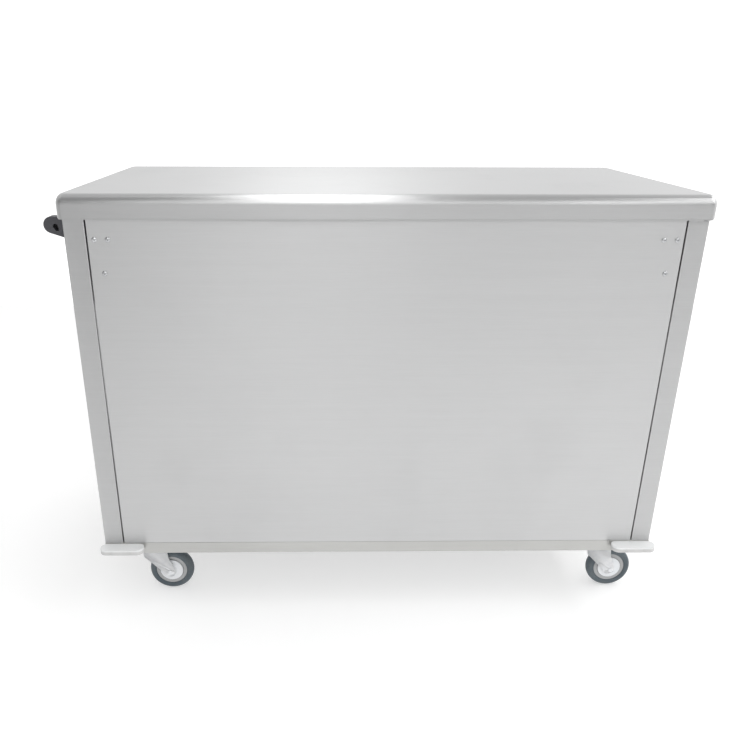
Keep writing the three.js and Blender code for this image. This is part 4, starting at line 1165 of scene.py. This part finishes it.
def model_handle():
    """Two moulded brackets with a slanted screw recess in each, and the round push bar between them."""
    rounded = bpy.context.scene.steam_table_sizes.bracket_round
    nose = 16 * MM
    for face, sign in (("customer", -1), ("operator", 1)):
        node = f"handle_bracket_{face}"
        low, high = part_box(node)
        bar_x, bar_z = low.x + nose, high.z - nose
        inner, outer = (high.y, low.y) if sign < 0 else (low.y, high.y)
        foot, base = high.x, low.z
        lower = 270 - math.degrees(math.atan2((bar_z - nose) - base, foot - bar_x))
        outline = [Vector((foot, inner, base)), Vector((foot, inner, high.z)), Vector((bar_x, inner, high.z))]
        outline += arc((bar_x, inner, bar_z), nose, 100, lower, 18)
        bracket = slab(f"bracket_{face}", outline, (0, outer - inner, 0))
        open_up(bracket, "EDGE")
        pick_edges(bracket, lambda a, b: at(outer, a.y, b.y) and not at(foot, a.x, b.x))
        bevel(rounded, 6)
        close_up()
        middle = Vector((bar_x + 8.5 * MM, outer + sign * 2 * MM, bar_z - 4.5 * MM))
        lean = Vector((1.0 * MM, 0, -2.4 * MM))
        drop = arc(middle - lean, 4.7 * MM, 20, 205, 14) + arc(middle + lean * 1.3, 3.7 * MM, 205, 380, 14)
        start, stop = (bar_x, inner - sign * 2 * MM, bar_z), (bar_x, inner + sign * 9 * MM, bar_z)
        cut(bracket, slab("recess", drop, (0, -sign * 14 * MM, 0)), bar("socket", start, stop, 13 * MM, 64))
        soften(bracket, 0.5 * MM, 2, 40)
        finished(bracket, "cabinet", "handle_plastic", node)
        seat = (middle.x, outer - sign * 11.9 * MM, middle.z)
        screw = cross_screw(f"handle_screw_{face}", seat, (0, sign, 0), 3.9 * MM)
        finished(screw, "cabinet", "knob_plastic", slot="handle_plastic")
    low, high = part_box("handle_bar")
    half = (high - low) / 2
    radius, length, step = half.z, half.y, 0.5 * MM
    near = [(radius - 3 * step, length), (radius - step, length), (radius, length - step)]
    ring = [(r, -h) for r, h in near] + near[::-1]
    tube = turned("push_bar", ring, (low + high) / 2, "Y", 64, True, 40)
    finished(tube, "cabinet", "handle_bar", "handle_bar")


def lettering(name, text, size, place):
    """A small upright figure that reads from the operator's side, as a thin mesh."""
    let_go()
    bpy.ops.object.text_add(location=(0, 0, 0))
    label = bpy.context.active_object
    label.data.body = text
    label.data.size = size
    label.data.align_x = "CENTER"
    label.data.align_y = "CENTER"
    label.data.extrude = 0.12 * MM
    label.data.resolution_u = 3
    hold(label)
    bpy.ops.object.convert(target="MESH")
    label = bpy.context.active_object
    label.rotation_euler = (math.pi / 2, 0, math.pi)
    label.location = place
    return settle(label, name)


def model_controls():
    """The operator's control panel with its fittings, and the thermostats' box behind it."""
    low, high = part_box("control_panel")
    panel = reworked("control_panel", "control_sheet", 0.5 * MM)
    finished(panel, "cabinet", "brushed_panel", "control_panel")
    box = reworked("control_box", "thermostat_box", 0.6 * MM)
    finished(box, "cabinet", "satin_steel", "control_box")
    face = high.y
    level = (low.z + high.z) / 2
    marks, screws = [], []
    for well in WELLS:
        node = f"knob_{well}"
        knob_low, knob_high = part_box(node)
        x = (knob_low.x + knob_high.x) / 2
        marks += dial(well, x, face, level)
        model_knob(node, (x, knob_low.y, level), knob_high.y - knob_low.y)
    away_x = (high.x - low.x) / 2 - 12 * MM
    away_z = (high.z - low.z) / 2 - 14 * MM
    for sx in (-1, 1):
        for sz in (-1, 1):
            seat = (MIDDLE_X + sx * away_x, face, level + sz * away_z)
            screws.append(cross_screw(f"panel_screw_{sx}_{sz}", seat, (0, 1, 0), 3.6 * MM))
    finished(gather("panel_screws", *screws), "cabinet", "zinc")
    finished(gather("dial_print", *marks), "cabinet", "print_black", slot="brushed_panel")
    model_lamp(face, level)
    model_switch(face, level)
    model_inlet(face, level)


def dial(well, x, face, level):
    """Tick marks and the figures 0 to 10 round a knob."""
    marks = []
    radius = 28 * MM
    middle = Vector((x, face, level))
    for step in range(11):
        angle = math.radians(225 - 27 * step)
        out = Vector((-math.cos(angle), 0, math.sin(angle)))
        tick = block(f"tick_{well}_{step}", (-0.45 * MM, -0.02 * MM, -2 * MM), (0.45 * MM, 0.12 * MM, 2 * MM))
        hold(tick)
        tick.rotation_euler = (0, math.atan2(out.x, out.z), 0)
        tick.location = middle + out * radius
        marks.append(settle(tick, tick.name))
        place = middle + Vector((0, 0.05 * MM, 0)) + out * (radius + 7.2 * MM)
        marks.append(lettering(f"figure_{well}_{step}", str(step), 6.2 * MM, place))
    return marks


def model_knob(node, seat, high):
    """A skirted knob with a fluted grip and a raised white pointer."""
    skirt = ((3.4, 0), (21.4, 0), (22, 0.6), (22, 2.6), (21.2, 3.4), (18.6, 4.4), (17.6, 5.6))
    crown = ((16.2, 1.8), (15.4, 0.7), (14, 0.25), (0, 0.6), (0, 5.2), (3.4, 5.2))
    profile = in_mm(skirt) + [(r * MM, high - drop * MM) for r, drop in crown]
    knob = turned(f"{node}_body", profile, axis="Y", steps=80, closed=True)
    flutes = []
    for step in range(1, 20):
        angle = math.tau * step / 20
        out = Vector((math.sin(angle), 0, math.cos(angle)))
        start, stop = out * 18.2 * MM + Vector((0, 5.4 * MM, 0)), out * 17.6 * MM + Vector((0, high + 1 * MM, 0))
        flutes.append(bar(f"flute_{step}", start, stop, 1.5 * MM, 12))
    smooth(cut(knob, gather("flutes", *flutes)), 32)
    knob.location = Vector(seat)
    settle(knob, f"{node}_grip")
    finished(knob, home_of(node), "knob_plastic", node)
    name, half = f"{node}_pointer", 1.1 * MM
    pointer = block(name, (-half, high - 0.9 * MM, 5 * MM), (half, high - 0.1 * MM, 15 * MM))
    tab = block(f"{node}_tab", (-half, 4 * MM, 17.4 * MM), (half, 4.75 * MM, 21 * MM))
    pointer = gather(name, soften(pointer, 0.3 * MM, 2), soften(tab, 0.25 * MM, 2))
    pointer.location = Vector(seat)
    settle(pointer, name)
    finished(pointer, home_of(node), "print_white", slot="knob_plastic")


def model_lamp(face, level):
    """An amber dome in a bright bezel."""
    low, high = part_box("power_lamp")
    centre = ((low.x + high.x) / 2, face, level)
    dome = ((0, -13.8), (5.6, -13.8), (5.6, 2.2), (5.2, 3.6), (4.2, 4.8), (2.6, 5.6), (0, 6.0))
    lens = turned("lamp_dome", in_mm(dome), centre, "Y", 40, shade=40)
    finished(lens, "cabinet", "lamp_lens", "power_lamp")
    ring = ((5.7, 0), (8, 0), (8, 1.2), (7.2, 2.1), (6.2, 2.2), (5.7, 1.6))
    bezel = turned("lamp_bezel", in_mm(ring), centre, "Y", 40, True, 40)
    finished(bezel, "cabinet", "zinc", slot="lamp_lens")


def model_switch(face, level):
    """A rocker in a black frame."""
    node = "power_switch"
    low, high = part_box(node)
    x = (low.x + high.x) / 2
    rocker = reworked(node, "rocker", 0.7 * MM, 3, 20)
    finished(rocker, home_of(node), "switch_rocker", node)
    wide, tall = 13.4 * MM, 18.4 * MM
    rim = block("switch_frame", (x - wide, face, level - tall), (x + wide, face + 2 * MM, level + tall))
    soften(rim, 0.9 * MM, 3)
    wide, tall, deep = 10.6 * MM, 15.6 * MM, 5 * MM
    cut(rim, block("window", (x - wide, face - deep, level - tall), (x + wide, face + deep, level + tall)))
    finished(smooth(rim, 40), "cabinet", "inlet_plastic")


def model_inlet(face, level):
    """A flanged power inlet with three pins, held by two screws."""
    node = "power_inlet"
    low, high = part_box(node)
    centre = Vector(((low.x + high.x) / 2, face, level))
    profile = (
        (0, -28), (21.6, -28), (21.6, 0.02), (27, 0.02), (27, 2.6), (26.2, 3.8), (23, 4.7), (19, 5),
        (17.9, 4.6), (17.7, 3.6), (17.7, -19.6), (0, -19.6),
    )
    body = turned("inlet_body", in_mm(profile), centre, "Y", 64, shade=40)
    finished(body, "cabinet", "inlet_plastic", node)
    metal = []
    profile = in_mm(((0, -20), (2, -20), (2, -5), (1.4, -4.2), (0, -4)))
    for step in range(3):
        angle = math.tau * step / 3
        out = Vector((math.sin(angle) * 9 * MM, 0, math.cos(angle) * 9 * MM))
        metal.append(turned(f"pin_{step}", profile, centre + out, "Y", 20, shade=40))
    for sign in (-1, 1):
        away = sign * 22.6 * MM / math.sqrt(2)
        seat = centre + Vector((away, 4.55 * MM, away))
        metal.append(cross_screw(f"inlet_screw_{sign}", seat, (0, 1, 0), 2.3 * MM))
    finished(gather("inlet_metal", *metal), "cabinet", "zinc", slot="inlet_plastic")


def strainer_plate(x, y, seat):
    """A domed strainer with two rings of holes."""
    profile = (
        (0, 2.6), (17, 2.4), (20.5, 1.4), (22, 0.1), (22, 0), (9.5, 0), (9.5, -4), (8.6, -4), (8.6, 1.2), (0, 1.2),
    )
    strainer = turned("strainer", in_mm(profile), (x, y, seat))
    holes = []
    for ring, count in ((4 * MM, 6), (7 * MM, 12)):
        for step in range(count):
            angle = math.tau * step / count
            place = Vector((x + ring * math.cos(angle), y + ring * math.sin(angle), seat - 1 * MM))
            holes.append(bar("hole", place, place + UP * 8 * MM, 0.9 * MM, 10))
    return smooth(cut(strainer, gather("holes", *holes)), 35)


def model_wells():
    """Three drawn wells with rounded corners and a rolled rim, each with a strainer over its drain."""
    low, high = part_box("well_middle")
    middle = (low + high) / 2
    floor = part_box("heating_element_middle")[1].z + 0.3 * MM
    rim, sheet, top = 8 * MM, 1 * MM, high.z
    seat = floor + sheet
    pan = block("well_pan", (low.x + rim, low.y + rim, seat), (high.x - rim, high.y - rim, top))
    open_up(pan)
    pick_faces(pan, lambda centre, normal: normal.z > 0.9)
    bpy.ops.mesh.delete(type="FACE")
    bpy.ops.mesh.select_mode(type="EDGE")
    pick_edges(pan, lambda a, b: abs(a.z - b.z) > 0.05)
    bevel(30 * MM, 10)
    pick_edges(pan, lambda a, b: at(seat, a.z, b.z))
    bevel(12 * MM, 6)
    pick_edges(pan, lambda a, b: at(top, a.z, b.z))
    half = (high - low) / 2
    grow = (half.x / (half.x - rim), half.y / (half.y - rim), 1)
    pull_edges((0, 0, 0))
    bpy.ops.transform.resize(value=grow, center_override=(middle.x, middle.y, top))
    pull_edges((0, 0, -0.35 * MM))
    pick_all()
    bpy.ops.mesh.normals_make_consistent(inside=True)
    close_up()
    thicken(pan, sheet)
    start, stop = (middle.x, middle.y, floor - 5 * MM), (middle.x, middle.y, floor + 5 * MM)
    cut(pan, bar("drain_bore", start, stop, 10 * MM))
    smooth(pan, 35)
    inner, outer, upper = 10 * MM, 12.5 * MM, floor + 0.3 * MM
    ring = [(inner, low.z), (outer, low.z), (outer, upper), (inner, upper)]
    spout = turned("spout", ring, (middle.x, middle.y, 0), closed=True, shade=40)
    pan = gather("well", pan, spout, strainer_plate(middle.x, middle.y, seat))
    for well in WELLS:
        node = f"well_{well}"
        piece = copy_of(pan, f"drawn_{node}", (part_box(node)[0].x - low.x, 0, 0))
        finished(piece, "cabinet", "well_steel", node)
        for slot in frame["nodes"][f"heating_element_{well}"].material_slots:
            slot.material = FINISHES["element_sheath"]
    bpy.data.objects.remove(pan)


def model_drain():
    """The drain pipe under the wells, its ball valve and the red lever."""
    for node, name, finish, width, steps, angle in (
        ("drain_manifold", "drain_pipe", "satin_steel", 0.5, 2, 40),
        ("drain_valve", "ball_valve", "brass", 0.8, 3, 30),
        ("drain_lever", "valve_lever", "lever_grip", 0.9, 3, 30),
    ):
        finished(reworked(node, name, width * MM, steps, angle), home_of(node), finish, node)


# ---------------------------------------------------------------- stage


def soft_light(name, place, target, size, power, tone=(1, 1, 1)):
    """A rectangular soft light that faces a target."""
    place, target = Vector(place), Vector(target)
    let_go()
    bpy.ops.object.light_add(type="AREA", location=place)
    lamp = bpy.context.active_object
    lamp.name = name
    lamp.rotation_euler = (target - place).to_track_quat("-Z", "Y").to_euler()
    lamp.data.shape = "RECTANGLE"
    lamp.data.size, lamp.data.size_y = size
    lamp.data.energy = power
    lamp.data.color = tone
    return lamp


def light_room(looks):
    """A white room that dims in front, high up and to the left."""
    world = bpy.data.worlds.new("studio")
    bpy.context.scene.world = world
    world.use_nodes = True
    w = Wiring(world.node_tree)
    coords = world.node_tree.nodes.new("ShaderNodeTexCoord").outputs["Generated"]
    split = world.node_tree.nodes.new("ShaderNodeSeparateXYZ")
    w.put(split.inputs[0], coords)
    shade = w.span(split.outputs["Y"], -0.9, 0.5, looks.room_front, looks.room_back)
    high = w.span(split.outputs["Z"], 0.20, 0.42, 1.0, looks.room_high)
    back = world.node_tree.nodes["Background"]
    left = w.span(split.outputs["X"], -0.95, -0.45, 0.72, 1.0)
    w.put(back.inputs["Strength"], w.maths("MULTIPLY", left, w.maths("MULTIPLY", shade, high)))
    back.inputs["Color"].default_value = (1, 1, 1, 1)


def build_stage():
    """A pale floor that glows as painted light, soft light and the camera."""
    looks = bpy.context.scene.steam_table_looks
    let_go()
    bpy.ops.mesh.primitive_plane_add(size=1, location=(0, -2.3, 0))
    floor = bpy.context.active_object
    floor.scale = (14, 9.4, 1)
    settle(floor, "floor")
    # Painted light: the floor glows, which fills the shade under the unit.
    w, shader, place = new_finish(
        "floor_paper", 0.9, Emission_Color=(1, 1, 1, 1), Emission_Strength=looks.floor_glow
    )
    marks = w.place(GROUPS["handling"], Place=place, Size=1.5)
    axes = w.tree.nodes.new("ShaderNodeSeparateXYZ")
    w.put(axes.inputs[0], place)
    far = w.span(axes.outputs["Y"], -3.4, -1.2, 1.0, 0.0)
    tone = w.blend(far, (*looks.floor, 1), (0.40, 0.40, 0.40, 1))
    w.put(shader.inputs["Base Color"], w.fade(marks["Smudge"], 0.02, tone, tint((0.8, 0.8, 0.8))))
    unseen = w.tree.nodes.new("ShaderNodeBsdfTransparent")
    from_below = w.tree.nodes.new("ShaderNodeMixShader")
    w.put(from_below.inputs[0], w.tree.nodes.new("ShaderNodeNewGeometry").outputs["Backfacing"])
    w.put(from_below.inputs[1], shader.outputs[0])
    w.put(from_below.inputs[2], unseen.outputs[0])
    w.put(w.tree.nodes["Material Output"].inputs["Surface"], from_below.outputs[0])
    floor.data.materials.append(FINISHES["floor_paper"])

    soft_light("front", (0.2, -3.6, 2.6), (0, 0, 0.5), (3.6, 1.8), looks.front)
    soft_light("strip_middle", (-0.100, -2.1, 3.3), (-0.100, -2.1, 0), (0.73, 6.8), looks.strip)
    soft_light("strip_right", (2.3, -2.9, 3.3), (2.3, -2.9, 0), (0.8, 5.2), looks.strip * 0.82)
    soft_light("strip_far_right", (3.4, -0.2, 3.3), (3.4, -0.2, 0), (0.8, 5.0), looks.sides)
    soft_light("back", (0, 4.4, 3.6), (0, 4.4, 0), (9.0, 2.6), looks.back)

    light_room(looks)
    place_camera()


def place_camera():
    """The camera, turned by a yaw, a pitch and a small roll."""
    yaw, pitch, roll = math.radians(1.03), math.radians(22.84), math.radians(-0.24)
    forward = Vector((math.sin(yaw) * math.cos(pitch), math.cos(yaw) * math.cos(pitch), -math.sin(pitch)))
    right = Vector((math.cos(yaw), -math.sin(yaw), 0))
    down = forward.cross(right)
    right_rolled = math.cos(roll) * right + math.sin(roll) * down
    down_rolled = -math.sin(roll) * right + math.cos(roll) * down
    let_go()
    bpy.ops.object.camera_add(location=(-0.09685, -1.7205, 1.0789))
    camera = bpy.context.active_object
    camera.name = "camera"
    turn = Matrix((right_rolled, -down_rolled, -forward)).transposed()
    camera.rotation_euler = turn.to_euler()
    camera.data.sensor_width = 36
    camera.data.lens = 36.16
    camera.data.shift_x = 0.0508
    camera.data.shift_y = 0.0515
    camera.data.clip_end = 200
    bpy.context.scene.camera = camera
    bpy.context.scene.view_settings.view_transform = "Standard"


# ---------------------------------------------------------------- add-on


class SteamTableSizes(bpy.types.PropertyGroup):
    """The sizes that a maker would change."""

    edge_roll: bpy.props.FloatProperty(
        name="Cover roll", description="Radius of the cover's rolled edge",
        default=0.019, min=0.004, max=0.024, unit="LENGTH", subtype="DISTANCE",
    )
    end_roll: bpy.props.FloatProperty(
        name="Cover end roll", description="How far the rolled edge reaches in at the two ends",
        default=0.010, min=0.003, max=0.024, unit="LENGTH", subtype="DISTANCE",
    )
    cover_corner: bpy.props.FloatProperty(
        name="Cover corner", description="Radius of the cover's corners in plan",
        default=0.012, min=0.004, max=0.02, unit="LENGTH", subtype="DISTANCE",
    )
    bracket_round: bpy.props.FloatProperty(
        name="Bracket rounding", description="Rounding of the handle brackets' outer edges",
        default=0.003, min=0.001, max=0.004, unit="LENGTH", subtype="DISTANCE",
    )
    guard_round: bpy.props.FloatProperty(
        name="Bumper rounding", description="Rounding of the bumpers' rims",
        default=0.0036, min=0.001, max=0.005, unit="LENGTH", subtype="DISTANCE",
    )


class SteamTableLooks(bpy.types.PropertyGroup):
    """The colours and the light that a maker would change."""

    steel: bpy.props.FloatVectorProperty(
        name="Steel", description="Colour of the brushed sheet",
        default=(0.56, 0.562, 0.564), size=3, min=0, max=1, subtype="COLOR",
    )
    # Painted light: how much lighter the panels' copy of the sheet steel is.
    panel_share: bpy.props.FloatProperty(
        name="Panel tone", description="How light the panels are beside the rest of the sheet",
        default=1.09, min=0.8, max=1.3,
    )
    # The rails' own steel colour, with a warm tint that is a painted reflection of the floor.
    base: bpy.props.FloatVectorProperty(
        name="Base steel", description="Colour of the base rails",
        default=(0.60, 0.60, 0.585), size=3, min=0, max=1, subtype="COLOR",
    )
    handle: bpy.props.FloatVectorProperty(
        name="Handle", description="Colour of the push handle",
        default=(0.062, 0.062, 0.070), size=3, min=0, max=1, subtype="COLOR",
    )
    floor: bpy.props.FloatVectorProperty(
        name="Floor", description="Colour of the floor",
        default=(0.62, 0.62, 0.62), size=3, min=0, max=1, subtype="COLOR",
    )
    # Painted light: the floor's own glow, which lifts the shade under the unit.
    floor_glow: bpy.props.FloatProperty(
        name="Floor glow", description="Light from below through the floor's white sheet",
        default=0.46, min=0,
    )
    sides: bpy.props.FloatProperty(
        name="Side strip", description="Power of the far strip",
        default=72.0, min=0, unit="POWER",
    )
    back: bpy.props.FloatProperty(
        name="Back light", description="Power of the light behind the unit",
        default=36.0, min=0, unit="POWER",
    )
    front: bpy.props.FloatProperty(
        name="Front light", description="Power of the front light",
        default=25.0, min=0, unit="POWER",
    )
    strip: bpy.props.FloatProperty(
        name="Strip lights", description="Power of the overhead strip",
        default=43.0, min=0, unit="POWER",
    )
    room_high: bpy.props.FloatProperty(
        name="Room above", description="Brightness of the room high up, as a share",
        default=0.62, min=0,
    )
    room_front: bpy.props.FloatProperty(
        name="Room in front", description="Brightness of the room in front of the unit",
        default=0.38, min=0,
    )
    room_back: bpy.props.FloatProperty(
        name="Room behind", description="Brightness of the room behind the unit",
        default=1.32, min=0,
    )


class MakeFinishes(bpy.types.Operator):
    """Builds the materials that the pieces take"""

    bl_idname = "steam_table.finishes"
    bl_label = "Finishes"

    def execute(self, context):
        make_finishes()
        return {"FINISHED"}


class MakeCover(bpy.types.Operator):
    """Models the flat cover and its channels"""

    bl_idname = "steam_table.cover"
    bl_label = "Cover"

    def execute(self, context):
        model_cover()
        return {"FINISHED"}


class MakeCustomerPanel(bpy.types.Operator):
    """Models the customer panel and its rivets"""

    bl_idname = "steam_table.customer_panel"
    bl_label = "Customer panel"

    def execute(self, context):
        model_customer_panel()
        return {"FINISHED"}


class MakeEndPanels(bpy.types.Operator):
    """Models the two folded end panels"""

    bl_idname = "steam_table.end_panels"
    bl_label = "End panels"

    def execute(self, context):
        model_end_panels()
        return {"FINISHED"}


class MakeBase(bpy.types.Operator):
    """Models the base rails and channels, the shelf, the deck and the housing"""

    bl_idname = "steam_table.base"
    bl_label = "Base, shelf and deck"

    def execute(self, context):
        model_base()
        return {"FINISHED"}


class MakeBumpers(bpy.types.Operator):
    """Models the four corner bumpers"""

    bl_idname = "steam_table.bumpers"
    bl_label = "Bumpers"

    def execute(self, context):
        model_bumpers()
        return {"FINISHED"}


class MakeCasters(bpy.types.Operator):
    """Models the four casters and their brake pedals"""

    bl_idname = "steam_table.casters"
    bl_label = "Casters"

    def execute(self, context):
        model_casters()
        return {"FINISHED"}


class MakeHandle(bpy.types.Operator):
    """Models the push handle and its brackets"""

    bl_idname = "steam_table.handle"
    bl_label = "Push handle"

    def execute(self, context):
        model_handle()
        return {"FINISHED"}


class MakeControls(bpy.types.Operator):
    """Models the control panel, knobs, lamp, switch and inlet"""

    bl_idname = "steam_table.controls"
    bl_label = "Controls"

    def execute(self, context):
        model_controls()
        return {"FINISHED"}


class MakeWells(bpy.types.Operator):
    """Models the three wells with their strainers"""

    bl_idname = "steam_table.wells"
    bl_label = "Wells"

    def execute(self, context):
        model_wells()
        return {"FINISHED"}


class MakeDrain(bpy.types.Operator):
    """Models the drain pipe, valve and lever"""

    bl_idname = "steam_table.drain"
    bl_label = "Drain"

    def execute(self, context):
        model_drain()
        return {"FINISHED"}


class MakeStage(bpy.types.Operator):
    """Sets the floor, the lights and the camera"""

    bl_idname = "steam_table.stage"
    bl_label = "Stage"

    def execute(self, context):
        build_stage()
        return {"FINISHED"}


STEPS = (
    MakeFinishes, MakeCover, MakeCustomerPanel, MakeEndPanels, MakeBase, MakeBumpers, MakeCasters,
    MakeHandle, MakeControls, MakeWells, MakeDrain, MakeStage,
)


class SteamTablePanel(bpy.types.Panel):
    """Lists the steps and the values in the 3D view's sidebar."""

    bl_idname = "VIEW3D_PT_steam_table"
    bl_label = "Steam table"
    bl_space_type = "VIEW_3D"
    bl_region_type = "UI"
    bl_category = "Steam table"

    def draw(self, context):
        for step in STEPS:
            self.layout.operator(step.bl_idname)
        for values in (context.scene.steam_table_sizes, context.scene.steam_table_looks):
            box = self.layout.box()
            for label in values.__annotations__:
                box.prop(values, label)


CLASSES = (SteamTableSizes, SteamTableLooks, *STEPS, SteamTablePanel)


def register():
    for kind in CLASSES:
        bpy.utils.register_class(kind)
    bpy.types.Scene.steam_table_sizes = bpy.props.PointerProperty(type=SteamTableSizes)
    bpy.types.Scene.steam_table_looks = bpy.props.PointerProperty(type=SteamTableLooks)


def unregister():
    del bpy.types.Scene.steam_table_sizes
    del bpy.types.Scene.steam_table_looks
    for kind in reversed(CLASSES):
        bpy.utils.unregister_class(kind)


def main():
    """Registers the add-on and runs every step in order."""
    register()
    for step in STEPS:
        group, name = step.bl_idname.split(".")
        getattr(getattr(bpy.ops, group), name)()
    let_go()


if __name__ == "__main__":
    main()
